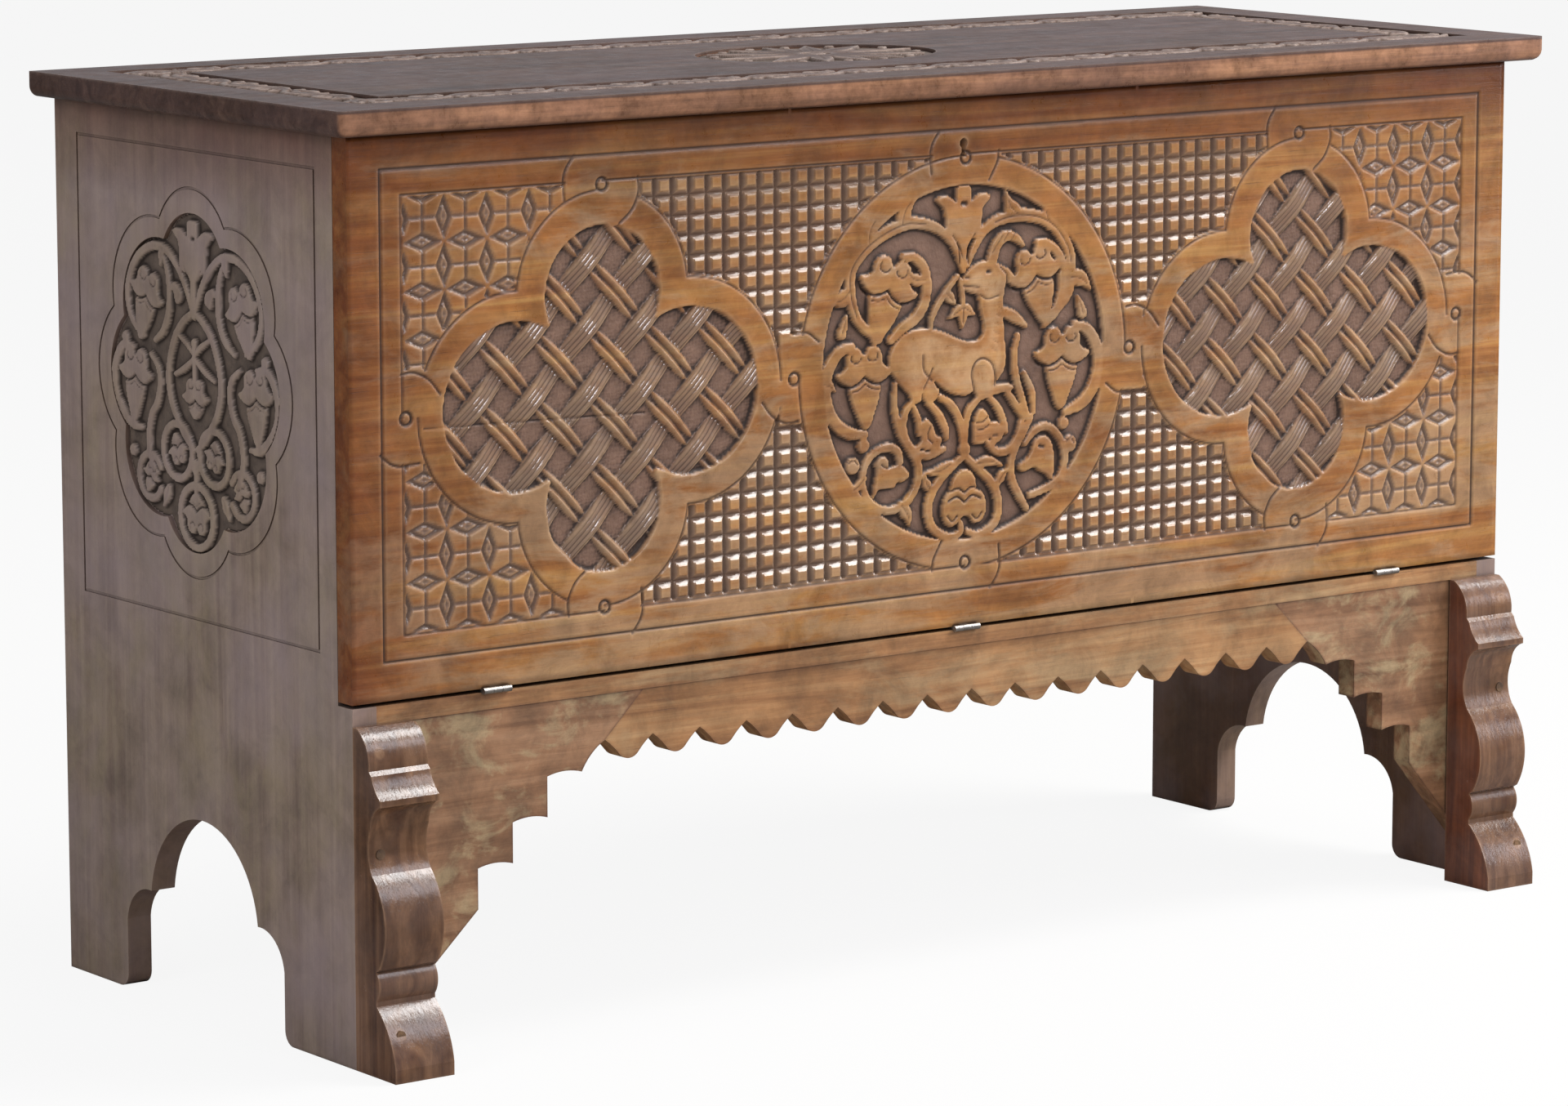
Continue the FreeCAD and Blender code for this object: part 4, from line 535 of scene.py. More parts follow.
def medallion(field):
    """The scrolls round the goat, left and right parts drawn apart because they differ."""
    tulip(field, (-2, 583), 60, 28, 9)
    for arch in (
            [(-2, 583, 2), (-12, 605, 3), (-25, 617, 3.6), (-42, 624, 4.2), (-62, 625, 4.8), (-85, 618, 5),
             (-105, 606, 5), (-118, 590, 5), (-118, 570, 4.6), (-112, 552, 4), (-100, 540, 3.4),
             (-88, 532, 2)],
            [(2, 587, 2), (10, 602, 3), (19, 614, 3.6), (31, 621, 4.2), (44, 624, 4.6), (61, 625, 5),
             (81, 621, 5), (96, 612, 5), (108, 596, 5), (112, 583, 4.8), (112, 571, 4.4), (110, 558, 4),
             (100, 546, 3.2), (88, 541, 2)]):
        field.stem(arch)
        field.vein([point[:2] for point in arch[3:10]], 1.4, 1.1)
    for foot, angle, scale in (((-79.8, 572.5), -18, 1.05), ((75, 574), 14, 0.98),
                               ((-103.8, 503.3), 2, 0.98), ((102.9, 504.2), -2, 1.0)):
        palmette(field, foot, angle, scale)
    for stem in (
            [(-77, 531, 3), (-65, 540, 4), (-52, 547, 4.4), (-43, 558, 4.6), (-40, 573, 4.6),
             (-43, 588, 4.2), (-53, 597, 3.6), (-64, 598, 2.6)],
            [(84, 532, 2.4), (96, 543, 4), (103, 560, 4.4), (103, 578, 4.4), (97, 592, 4), (86, 600, 3.2),
             (76, 601, 2.2)], [(-4.8, 575, 1.8), (-3, 564, 2), (-2, 552, 1.6)],
            [(-8, 579, 1.6), (-19, 568, 2.4), (-29, 556, 2.6), (-35, 545, 2.2), (-36, 537, 1.4)],
            [(-117, 529, 3), (-131, 524, 4.6), (-142, 509, 5.4), (-144, 491, 5.8), (-139, 475, 5.4),
             (-128, 463, 5), (-115, 457, 4.4), (-103, 456, 2.8)],
            [(117, 530, 3), (131, 524, 4.6), (141, 508, 5.4), (142, 489, 5.8), (134, 472, 5.4),
             (122, 462, 4.8), (107, 457, 2.8)],
            [(-72, 494, 2), (-73, 480, 2.6), (-71, 466, 3), (-66, 453, 3.2), (-57, 440, 3.2),
             (-49, 428, 3.4), (-48, 416, 3.4), (-53, 404, 3.2), (-62, 395, 3.2), (-75, 391, 3),
             (-88, 393, 3), (-99, 401, 3), (-105, 412, 2.8), (-105, 425, 2.8), (-99, 436, 2.8),
             (-88, 442, 2.8), (-77, 443, 3.2), (-69, 438, 3.4), (-67, 430, 2.6)],
            [(70, 456, 2.6), (62, 444, 3.2), (54, 432, 3.2), (49, 418, 3.4), (51, 404, 3.4), (58, 392, 3.2),
             (66, 380, 2.4)],
            [(64, 434, 2), (73, 443, 2.8), (85, 447, 3), (96, 442, 3), (104, 431, 3), (107, 418, 3),
             (103, 405, 3), (93, 397, 3), (82, 393, 2.8), (70, 390, 2.6)],
            [(-25, 480, 2.4), (-14, 473, 3.2), (-6, 461, 3.2), (-2, 448, 3), (-1, 436, 2.6)],
            [(14, 475, 2.4), (5, 467, 3), (1, 455, 2.8), (0, 440, 2.4)],
            [(-56, 477, 2), (-62, 470, 3), (-64, 458, 3.4), (-60, 446, 3.4), (-50, 436, 3.2), (-36, 433, 3),
             (-22, 437, 2.4)], [(-38, 477, 2.4), (-27, 466, 3.4), (-20, 453, 3.2), (-19, 446, 2)],
            [(-53, 474, 2), (-48, 463, 2.6), (-47, 452, 2)],
            [(24, 439, 2), (31, 432, 3), (41, 429, 3.2), (50, 433, 3.2), (57, 442, 3), (60, 452, 2.4)],
            [(45, 479, 2.4), (53, 469, 3), (60, 460, 3), (68, 454, 2.6)],
            [(26, 476, 2), (35, 467, 3), (41, 455, 3), (44, 446, 2)],
            [(56, 525, 2), (52, 510, 2.8), (54, 491, 3.2), (61, 471, 3), (67, 456, 2)],
            [(63, 493, 2), (71, 477, 3), (73, 460, 2)],
            [(0, 430, 2.6), (-12, 422, 3), (-25, 412, 3.4), (-34, 401, 3.6), (-38, 388, 3.6),
             (-34, 374, 3.6), (-24, 366, 3.4), (-12, 363, 3), (-4, 367, 2.6), (-4, 374, 2)],
            [(0, 430, 2.6), (13, 419, 3), (25, 409, 3.4), (33, 398, 3.6), (36, 386, 3.6), (34, 374, 3.6),
             (26, 366, 3.4), (14, 362, 3), (4, 366, 2.4)]):
        field.stem(stem)
    for outline in (
            [(-95, 403), (-93, 416), (-91, 424), (-92, 431), (-86, 436), (-80, 433), (-79, 426), (-72, 427),
             (-64, 426), (-58, 419), (-64, 414), (-70, 414), (-74, 410), (-82, 410), (-90, 409)],
            [(57, 416), (66, 421), (71, 427), (74, 435), (82, 439), (90, 436), (94, 426), (95, 412),
             (92, 402), (87, 407), (80, 410), (74, 414), (67, 412), (61, 411)],
            [(-50, 441), (-45, 446), (-45, 457), (-40, 463), (-34, 458), (-30, 449), (-25, 447), (-26, 440),
             (-33, 437), (-42, 439)],
            [(10, 440), (9, 450), (12, 462), (18, 467), (24, 462), (28, 455), (36, 454), (41, 448),
             (38, 440), (30, 437), (26, 443), (18, 438)],
            [(-15, 401), (-12, 410), (-6, 416), (0, 418), (6, 416), (11, 410), (13, 401), (19, 397),
             (22, 390), (22, 381), (17, 374), (10, 373), (6, 378), (1, 380), (-4, 378), (-8, 374),
             (-14, 372), (-20, 376), (-23, 384), (-22, 392), (-19, 398)]):
        field.shape(outline)
    for u, w, r in ((-116, 431, 6.5), (112, 430, 6.5), (-105, 447, 5.5), (105, 448, 5), (0, 435, 5.5),
                    (-127, 540, 4.4), (125, 539, 4.4)):
        field.boss(u, w, r)
    table = [
        ([(-87, 430), (-83, 427), (-79, 426)], 1.2, 1.4), ([(79, 431), (83, 430)], 2.2, 2.2),
        ([(-120, 434), (-115, 436), (-111, 432)], 1.2, 1.5),
        ([(108, 433), (113, 435), (116, 431)], 1.2, 1.5), ([(-36, 457), (-39, 449), (-34, 443)], 1.2, 1.5),
        ([(12, 456), (18, 456), (24, 460)], 1.2, 1.5), ([(12, 451), (18, 450), (25, 453)], 1.2, 1.5),
        ([(29, 444), (34, 444)], 1.2, 1.5)]
    for side in (-1, 1):
        table += [([(0, 399), (side * 7, 403), (side * 15, 401)], 1.4, 2.2),
                  ([(0, 391), (side * 8, 396), (side * 17, 393)], 1.4, 2.2),
                  ([(side * 8, 380), (side * 13, 376), (side * 18, 381)], 1.3, 1.8)]
    field.cuts(table)
    for root, tip, half, bend in (
            ((-66, 624), (-50, 647), 6, 0.15), ((60, 624), (42, 646), 6, 0.15),
            ((-119, 575), (-139, 566), 6, 0.15), ((112, 570), (133, 558), 6, 0.15),
            ((-100, 612), (-88, 634), 5, 0.15), ((96, 612), (84, 632), 5, 0.15),
            ((-42, 578), (-62, 590), 4, 0.2), ((-2, 553), (-16, 545), 3.6, 0),
            ((-2, 553), (10, 546), 3.6, 0), ((-2, 553), (-3, 536), 3.6, 0), ((-20, 566), (-10, 556), 3.6, 0),
            ((-127, 540), (-121.92, 554), 3, 0), ((125, 539), (120, 553), 3, 0),
            ((-15, 424), (-41, 419), 3.4, 0.1), ((14, 422), (40, 418), 3.4, 0.1),
            ((-36, 405), (-42, 418), 3.4, 0.1), ((36, 404), (46, 414), 3.4, 0.1),
            ((-66, 394), (-57, 377), 4.5, 0.1), ((-104, 420), (-120, 410), 3, 0.1),
            ((-146, 500), (-134, 494), 4, 0.1)):
        leaf(field, root, tip, half, bend)


medallion(front)
print("raised points in the medallion:", int((front.inside > 0).sum()))

# %% [markdown]
# ## Put the front together
# The face starts flat. Each ground sinks in from its own border over a millimetre or so,
# because the carver set the border in first, and then the scored lines and the keyhole are
# taken off. The board is cut in three blocks only to keep each mesh light.

# %% The fall front's carved face
FACE_Y, BOARD_BACK = -195.5, -20.0
GROUND, DEEPEST, KEYHOLE_FLOOR = -3.9, -7.0, -13.0
CRACK_X, CRACK_Z = (-533, -470, -400, -320), (497, 495.5, 494, 492)
BEAST, BEAST_HALF = (2, 533), (72, 56)

relief = front.relief(GROUND)
in_ground, in_weave, in_ring = ease(ground_in / 1.4), ease(foil_in / 1.6), ease(ring_in / 1.5)
outer_corner = np.abs(X) > FOIL
heights = np.where(outer_corner, star, diaper) * in_ground + woven * in_weave
heights = np.where(ring_in > 0, (relief + front.score) * in_ring, heights) - front.score
crack = 1.4 * np.clip(1 - np.abs(Z - np.interp(X, CRACK_X, CRACK_Z)) / 1.3, 0, 1)
heights -= crack * ((X > CRACK_X[0]) & (X < CRACK_X[-1]))
heights = np.clip(heights, DEEPEST, 0)
heights = np.where(keyhole > -0.2, KEYHOLE_FLOOR, heights)


def front_place(u, w, h):
    """Hollows run from the face into the board."""
    return np.stack([u, FACE_Y - h, w], -1)


marks = wear_marks(heights)
marks["ground"] = np.maximum(in_weave * (1 - stands), in_ring * ease((-relief - 2.2) / 1.2))
marks["sheen"] = np.maximum(in_weave * stands * (0.35 + 0.65 * strapped), in_ground * ease(-heights / 1.5))
marks["furrow"] = in_weave * stands * strapped
marks["hollow"] = np.maximum(marks["hollow"], 0.8 * np.clip(front.score / 1.1, 0, 1))
beast = (ease((front.inside - 3.5) / 5) * ease((BEAST_HALF[0] - np.abs(X - BEAST[0])) / 20)
         * ease((BEAST_HALF[1] - np.abs(Z - BEAST[1])) / 12))
marks["worn"] = np.maximum(marks["worn"], in_ring * (0.5 * ease((relief + 1.4) / 1.2) + 1.1 * beast))

# Only the diaper's facets are crisp, and the cells beside a seam, so that both blocks shade alike there.
front_pieces = []
facets = all_corners((ground_in > 0.4) & ~outer_corner)
borders = np.searchsorted(xs, (-600, -DIVIDE, DIVIDE, 600))
for border in borders[1:-1]:
    facets[border - 1:border + 1] = True
for label, first, last in zip(("left", "middle", "right"), borders[:-1], borders[1:]):
    i = slice(first, last + 1)
    piece = carved_block(f"fall_front_carving_{label}", xs[i], zs, heights[i], BOARD_BACK, front_place,
                         {key: grid[i] for key, grid in marks.items()}, crisp=facets[first:last])
    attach(piece, "fall_front")
    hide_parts("fall_front_panel")
    front_pieces.append(piece)

# %% [markdown]
# ## The ends of the chest
# Each end board has a lobed field sunk by 4 mm, with foliage that is the same on both
# sides of an upright stem. The field is drawn on an upright grid and only the cells inside
# the lobes are kept. Eight circles, each through two cusps and a crown, give the outline.

# %% Foliage of the ends
def circle_through(a, b, c):
    """Centre and radius of the circle through three points, from its two chord equations."""
    (ax, ay), (bx, by), (cx, cy) = a, b, c
    lhs = np.array([[bx - ax, by - ay], [cx - ax, cy - ay]]) * 2
    rhs = np.array([bx**2 + by**2 - ax**2 - ay**2, cx**2 + cy**2 - ax**2 - ay**2])
    centre = np.linalg.solve(lhs, rhs)
    return centre, math.dist(centre, a)


END_FACE, END_STEM_Y, END_MIDDLE_Z = 600.0, 32.5, 513.0
us = rule((-132, 132, 1.25))
ws = rule((-138, 138, 1.25))
end = Field(us, ws)
U, W = np.abs(us[:, None]), np.abs(ws[None, :])
lobed = 113 - np.hypot(U, W)
for triple in (((-42.8, 111.8), (0, 136), (42.8, 111.8)), ((42.8, 111.8), (92.5, 94.5), (106.5, 44.2)),
               ((106.5, 44.2), (128.7, 0), (106.5, -44.2))):
    centre, radius = circle_through(*triple)
    lobed = np.maximum(lobed, radius - np.hypot(U - centre[0], W - centre[1]))


def end_foliage(field):
    """Foliage on an upright stem: the half on one side, then the same turned over to the other.

    The last two strokes of a half are so short that they are round buttons."""
    tulip(field, (0, 62), 58, 30, 9)
    for stem in (
            [(0, 90, 4), (0, 76, 3.4), (0, 66, 3), (0, 54, 3)],
            [(0, 32, 3.6), (0, 27, 2.4), (0, 12, 2.2), (0, 2, 1.8)],
            [(0, -70, 3), (0, -80, 2.4), (0, -88, 2)]):
        field.stem(stem)
    field.boss(0, -67, 6)
    hoop(field, 0, -107, 25, 3)
    palmette(field, (0, -13), 0, 0.66, 0.45)
    palmette(field, (0, -103), 180, 0.72, 0.4)
    for side in (1, -1):
        for stem in (
                [(0, 54, 2.4), (8, 70, 2.6), (19, 86, 2.8), (31, 97, 3), (44, 104, 3), (60, 105, 3.2),
                 (76, 100, 3.2), (90, 90, 3.2), (99, 76, 3.2), (102, 63, 3), (99, 49, 2.8), (90, 38, 2.6),
                 (78, 31, 1.8)],
                [(44, 96, 1.8), (39, 84, 2.6), (37, 68, 3), (39, 52, 3.2), (47, 38, 3), (60, 29, 1.8)],
                [(0, 57, 2.4), (15, 49, 3), (28, 36, 3.2), (37, 17, 3.2), (40, -1, 3.2), (35, -19, 3.2),
                 (26, -32, 3), (15, -44, 3), (3, -53, 2.4)], [(2, 24, 1.6), (10, 30, 2.2), (22, 36, 1.6)],
                [(0, 20, 1.8), (15, 11, 2.4), (29, 5, 1.6)],
                [(94, 20, 2), (108, 21, 3.4), (119, 11, 3.8), (125, -5, 4), (122, -21, 4), (110, -35, 3.8),
                 (97, -43, 3.4), (83, -44, 2)],
                [(67, 17, 1.8), (56, 8, 2.8), (53, -5, 3), (58, -21, 3.2), (67, -32, 3.2), (72, -51, 3.2),
                 (69, -67, 3), (60, -78, 1.8)], [(106, 27, 4.6), (106.1, 27, 4.6)],
                [(97, -64, 4.6), (97.1, -64, 4.6)]):
            field.stem([(side * u, w, half) for u, w, half in stem])
        hoop(field, side * 70, -82, 18, 2.8, 90 + side * 60, -side * 300)
        hoop(field, side * 28, -57, 22, 2.8)
        for u, w, angle, scale, drop in ((73, 64, 16, 0.86, 1.0), (92, -2, 4, 0.88, 1.0),
                                         (28, -55, 165, 0.5, 0.5), (70, -82, 20, 0.42, 0.7)):
            palmette(field, (side * u, w), side * angle, scale, drop)
        field.shape([(side * u, w) for u, w in ((18, 66), (20, 74), (30, 78), (36, 72), (30, 71), (26, 62))])
        leaf(field, (side * 47, 104), (side * 50, 90), 3.4)
        leaf(field, (side * 42, -88), (side * 50, -104), 4)


end_foliage(end)
end_heights = np.clip(end.relief(GROUND), GROUND, 0)
end_marks = {**wear_marks(end_heights), "ground": ease((-end_heights - 2) / 1.2)}
end_pieces = []
for label, side in (("left", -1), ("right", 1)):
    def end_place(u, w, h, side=side):
        """The end's face looks left or right, and u runs back from its upright stem."""
        return np.stack([side * (END_FACE + h), END_STEM_Y + u, END_MIDDLE_Z + w], -1)

    piece = carved_block(f"{label}_end_carving", us, ws, end_heights, GROUND - UNDER, end_place, end_marks,
                         all_corners(lobed > 0.35), turn=side < 0)
    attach(piece, "carcase")
    end_pieces.append(piece)

# %% [markdown]
# ## The lid's border and rosette
# A running scroll goes round the lid in a sunk band, and an oval rosette fills its middle.
# The stem is a sine wave, and at each turn it throws a curl and a leaf to the hollow side.

# %% The lid's carving
LID_TOP, LID_GROUND, ROSETTE_BACK = 748.3, -2.9, 205


def running_scroll(field, start, finish, middle, swing):
    """A sine stem with, at every half wave, a curl on the hollow side and a leaf at its back."""
    waves = max(2, round((finish - start) / 92))
    long = (finish - start) / waves
    steps = np.linspace(start, finish, waves * 8 + 1)
    phase = (steps - start) / long * 2 * math.pi
    field.stem(np.stack([steps, middle + 0.55 * swing * np.sin(phase), np.full(len(steps), 2.6)], -1))
    for half in range(2 * waves):
        u = start + (half + 0.5) * long / 2
        up = 1 if half % 2 == 0 else -1
        w = middle - up * swing * 0.2
        field.stem([(u - long * 0.2, middle + up * 0.2 * swing, 2.6), (u - 8, w + up * 8, 3),
                    (u + 6, w + up * 7, 3), (u + 10, w - up * 3, 3), (u + 2, w - up * 9, 3),
                    (u - 6, w - up * 4, 2.6), (u - 2, w + up, 2)])
        leaf(field, (u + 11, w - up * 2), (u + 22, w - up * 13), 4.6, 0.2 * up)
        leaf(field, (u - 9, w + up * 4), (u - 19, w - up * 9), 4, -0.2 * up)


def lid_place(u, w, h):
    """On the lid's top, w runs back from the chest's front face."""
    return np.stack([u, FACE_Y + w, LID_TOP + h], -1)


def lid_turned(u, w, h):
    """As lid_place, for a band that runs from front to back."""
    return lid_place(w, u, h)


def lid_piece(label, field, place, **how):
    """A carved block that rides on the lid, its marks worked out from its own heights."""
    low = np.clip(field.relief(LID_GROUND), LID_GROUND, 0)
    marks = {**wear_marks(low), "ground": ease((-low - 1.5) / 1.2)}
    piece = carved_block(f"lid_{label}", field.us, field.ws, low, LID_GROUND - UNDER, place, marks, **how)
    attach(piece, "lid")
    lid_pieces.append(piece)


lid_pieces = []
bands = (("front", -574.6, 574.6, 20.4, 69.6, lid_place), ("back", -574.6, 574.6, 350.4, 399.6, lid_place),
         ("left", 70.4, 349.6, -574.6, -525.4, lid_turned), ("right", 70.4, 349.6, 525.4, 574.6, lid_turned))
for label, u0, u1, w0, w1, place in bands:
    band = Field(rule((u0, u1, 1.6)), rule((w0, w1, 1.6)))
    running_scroll(band, u0 + 4, u1 - 4, (w0 + w1) / 2, 22)
    lid_piece(f"border_{label}", band, place, turn=place is lid_turned)

rose = Field(rule((-109, 109, 1.4)), rule((-84, 84, 1.4)))
hoop(rose, 0, 0, 16, 3.4)
rose.boss(0, 0, 8)
for k in range(24):
    c, s = math.cos(math.radians(15 * k)), math.sin(math.radians(15 * k))
    far = 1 / math.hypot(c / 100, s / 75)
    if k % 2 == 0:
        leaf(rose, (20 * c, 20 * s), (far * c, far * s), 8.5)
    else:
        rose.boss(far * c * 0.94, far * s * 0.94, 3.6)
oval = np.hypot(rose.us[:, None] / 109.4, rose.ws[None] / 84.4) < 1
lid_piece("rosette", rose, lambda u, w, h: lid_place(u, w + ROSETTE_BACK, h), kept=all_corners(oval))

# %% [markdown]
# ## Colours and nodes
# Colours are written as the eye reads them on a screen, and one function turns them to
# linear light. One function adds a node, so a material reads like a recipe.

# %% Three small helpers
def colour(code):
    """sRGB hex to linear: below 0.04045 divide by 12.92, else ((c + 0.055) / 1.055) to the 2.4."""
    parts = [int(code[i:i + 2], 16) / 255 for i in (1, 3, 5)]
    return tuple(c / 12.92 if c <= 0.04045 else ((c + 0.055) / 1.055) ** 2.4 for c in parts) + (1.0,)


def emptied(owner):
    """The node tree of a material or world, with nothing in it."""
    owner.use_nodes = True
    owner.node_tree.nodes.clear()
    return owner.node_tree


def node(tree, kind, inputs=None, stops=None, **settings):
    """Add a node, set its properties and ramp stops, and fill or link its sockets.

    An input may be a number, a hex colour, a socket, or a node, whose result is then meant."""
    made = tree.nodes.new("ShaderNode" + kind)
    for key, value in settings.items():
        setattr(made, key, value)
    for number, (place, tone) in enumerate(stops or ()):
        ramp = made.color_ramp.elements
        stop = ramp[number] if number < 2 else ramp.new(place)
        stop.position, stop.color = place, colour(tone)
    for key, value in (inputs or {}).items():
        if isinstance(value, bpy.types.Node):
            value = value.outputs.get("Result") or value.outputs[0]
        if isinstance(value, bpy.types.NodeSocket):
            tree.links.new(value, made.inputs[key])
        else:
            made.inputs[key].default_value = colour(value) if isinstance(value, str) else value
    return made


print("mid grey in linear light:", round(colour("#808080")[0], 3))

# %% [markdown]
# ## Walnut
# Walnut has long streaks of brown, short dark pores along the grain, and on an old chest
# a skin of wax that is dark with dirt in the hollows and rubbed pale on the edges, which on
# the lid also stand in as painted glints. Painted shade darkens the crevices, the straps'
# grooves, the parts under the lid and the faces turned to the middle, and painted light lifts
# the lid's front edge. Streaks are about 8 mm wide and some 200 mm long, pores 0.4 mm wide
# and drawn as 1 mm so that they show. The same recipe makes every board, with its own tones,
# gloss and amount of wear.

# %% The walnut recipe
# STRAP_GROOVE is the pitch of the straps' fine grooves, a bump with painted shade in each.
STRAP_GROOVE = 0.0037
# The lid's front edge takes its painted light below these heights, in metres.
LIP_FROM, LIP_TO = 0.7465, 0.745


def walnut(name, tones, grain, rough=(0.36, 0.6), dirt_and_shade_tone="#3b2c23", ground="#8b7263", rub_and_glint_tone="#c9a67c",
           hollow=0.8, wear=0.6, patches=0.0, patch_tone="#b3a184", spread=(0.45, 3.2), lean=0.0, bloom=0.0,
           bloom_tone="#7d7a86", streak=1.0, grime=0.5, edge=None, inner_shade=None, inner_shade_from=0.3,
           shade=(0.655, 0.72), shade_left=0.0, arris=0.0, ior=1.46, gleam=0.5):
    """Streaks, pores and stains stretched along the grain axis, then patches, ground, rubbed edges that on
    the lid also stand in for painted glints, dirt with painted shade in the crevices, and painted shade in
    the straps' grooves.

    grain is the number of the axis that the fibres follow. edge is a triple that multiplies the tone of the
    lid's front edge as painted light, and inner_shade a triple that multiplies the tone of faces turned to
    the middle as painted shade. shade is the pair of heights between which the upper part darkens as painted
    shade under the lid, or None, and shade_left how much painted shade darkens the left part."""
    material = bpy.data.materials.new(name)
    tree = emptied(material)
    where = node(tree, "TexCoord")
    place = where.outputs["Object"]
    along = [5.0 if axis == grain else 125.0 for axis in range(3)]
    streak_map = node(tree, "Mapping", {"Vector": place, "Scale": [c / 2.2 for c in along]})
    fibre_map = node(tree, "Mapping", {"Vector": place, "Scale": [c * 2.4 for c in along]})
    pore_map = node(tree, "Mapping", {"Vector": place, "Scale": [c * 7.5 for c in along]})
    streaks = node(tree, "TexNoise", {"Vector": streak_map, "Scale": 1.0, "Detail": 5.0, "Roughness": 0.6,
                                      "Distortion": 1.1})
    fibres = node(tree, "TexNoise", {"Vector": fibre_map, "Scale": 1.0, "Detail": 4.0, "Roughness": 0.65})
    pores = node(tree, "TexNoise", {"Vector": pore_map, "Scale": 1.0, "Detail": 2.0})
    stains = node(tree, "TexNoise", {"Vector": place, "Scale": 7.0, "Detail": 5.0, "Roughness": 0.6})
    smudges = node(tree, "TexNoise", {"Vector": place, "Scale": 24.0, "Detail": 8.0, "Roughness": 0.72,
                                      "Distortion": 0.4})
    specks = node(tree, "TexNoise", {"Vector": place, "Scale": 70.0, "Detail": 4.0, "Roughness": 0.7})
    axes = node(tree, "SeparateXYZ", {0: place}).outputs
    facing = node(tree, "SeparateXYZ", {0: where.outputs["Normal"]}).outputs

    dark, mid, light = tones
    tone = node(tree, "ValToRGB", {"Fac": streaks}, stops=[(0.32, dark), (0.68, light), (0.5, mid)])
    fibre_tone = node(tree, "MapRange", {"Value": fibres, "From Min": 0.3, "From Max": 0.7,
                                         "To Min": 1 - 0.2 * streak, "To Max": 1 + 0.16 * streak})
    tone = node(tree, "VectorMath", {0: tone, 1: fibre_tone}, operation="MULTIPLY")
    stain_tone = node(tree, "MapRange", {"Value": stains, "From Min": 0.3, "From Max": 0.7, "To Min": 0.8,
                                         "To Max": 1.14})
    tone = node(tree, "VectorMath", {0: tone, 1: stain_tone}, operation="MULTIPLY")
    pore = node(tree, "MapRange", {"Value": pores, "From Min": 0.36, "From Max": 0.26, "To Min": 0.0,
                                   "To Max": 0.6 * streak})
    tone = node(tree, "Mix", {"Factor": pore, "A": tone, "B": dirt_and_shade_tone}, data_type="RGBA")
    if patches:
        blotch_map = node(tree, "Mapping", {"Vector": place,
                                            "Scale": [c ** spread[0] * spread[1] for c in along]})
        blotches = node(tree, "TexNoise", {"Vector": blotch_map, "Scale": 1.0, "Detail": 6.0,
                                           "Roughness": 0.68, "Distortion": 0.6})
        rise = node(tree, "Math", {0: axes["Z"], 1: -lean, 2: lean * 0.5}, operation="MULTIPLY_ADD")
        level = node(tree, "Math", {0: blotches, 1: rise}, operation="ADD")
        mask = node(tree, "MapRange", {"Value": level, "From Min": 0.5, "From Max": 0.62, "To Min": 0.0,
                                       "To Max": patches})
        tone = node(tree, "Mix", {"Factor": mask, "A": tone, "B": patch_tone}, data_type="RGBA")
    soiled = node(tree, "MapRange", {"Value": smudges, "From Min": 0.34, "From Max": 0.6,
                                     "To Min": 1 - grime, "To Max": 1 + 0.2 * grime})
    tone = node(tree, "VectorMath", {0: tone, 1: soiled}, operation="MULTIPLY")

    # Painted light: the lid's front edge, turned forward and below its top, is lifted by the triple edge and
    # mottled by specks.
    if edge:
        forward = node(tree, "MapRange", {"Value": facing["Y"], "From Min": -0.4, "From Max": -0.8})
        below = node(tree, "MapRange", {"Value": axes["Z"], "From Min": LIP_FROM, "From Max": LIP_TO})
        lip = node(tree, "Math", {0: forward, 1: below}, operation="MULTIPLY")
        mottle = node(tree, "MapRange", {"Value": specks, "From Min": 0.34, "From Max": 0.62, "To Min": 0.72,
                                         "To Max": 1.2})
        painted_lit_edge = node(tree, "VectorMath", {0: tone, 1: edge}, operation="MULTIPLY")
        painted_lit_edge = node(tree, "VectorMath", {0: painted_lit_edge, 1: mottle}, operation="MULTIPLY")
        tone = node(tree, "Mix", {"Factor": lip, "A": tone, "B": painted_lit_edge}, data_type="RGBA")
    # Painted shade: faces turned to the middle of the chest take a darker, redder tone by the triple
    # inner_shade.
    if inner_shade:
        outward = node(tree, "Math", {0: facing["X"], 1: axes["X"]}, operation="MULTIPLY")
        mask = node(tree, "MapRange", {"Value": outward, "From Min": inner_shade_from,
                                       "From Max": inner_shade_from - 0.5})
        shaded_inner_tone = node(tree, "VectorMath", {0: tone, 1: inner_shade}, operation="MULTIPLY")
        tone = node(tree, "Mix", {"Factor": mask, "A": tone, "B": shaded_inner_tone}, data_type="RGBA")
    if bloom:
        haze = node(tree, "MapRange", {"Value": stains, "From Min": 0.4, "From Max": 0.7, "To Min": 0.0,
                                       "To Max": bloom})
        tone = node(tree, "Mix", {"Factor": haze, "A": tone, "B": bloom_tone}, data_type="RGBA")
    # Painted shade: the upper part under the lid's overhang and the left part darken, unevenly by the
    # stains.
    if shade:
        upper = node(tree, "MapRange", {"Value": axes["Z"], "From Min": shade[0], "From Max": shade[1],
                                        "To Min": 0.0, "To Max": 0.85})
        leftward = node(tree, "MapRange", {"Value": axes["X"], "From Min": -0.45, "From Max": -0.6,
                                           "To Min": 0.0, "To Max": shade_left})
        painted_shade = node(tree, "Math", {0: upper, 1: leftward}, operation="MAXIMUM")
        painted_shade = node(tree, "Math", {0: stains, 1: painted_shade}, operation="MULTIPLY")
        painted_shade = node(tree, "Math", {0: painted_shade, 1: 2.0}, operation="MULTIPLY", use_clamp=True)
        tone = node(tree, "Mix", {"Factor": painted_shade, "A": tone, "B": "#c2a195"}, data_type="RGBA",
                    blend_type="MULTIPLY")

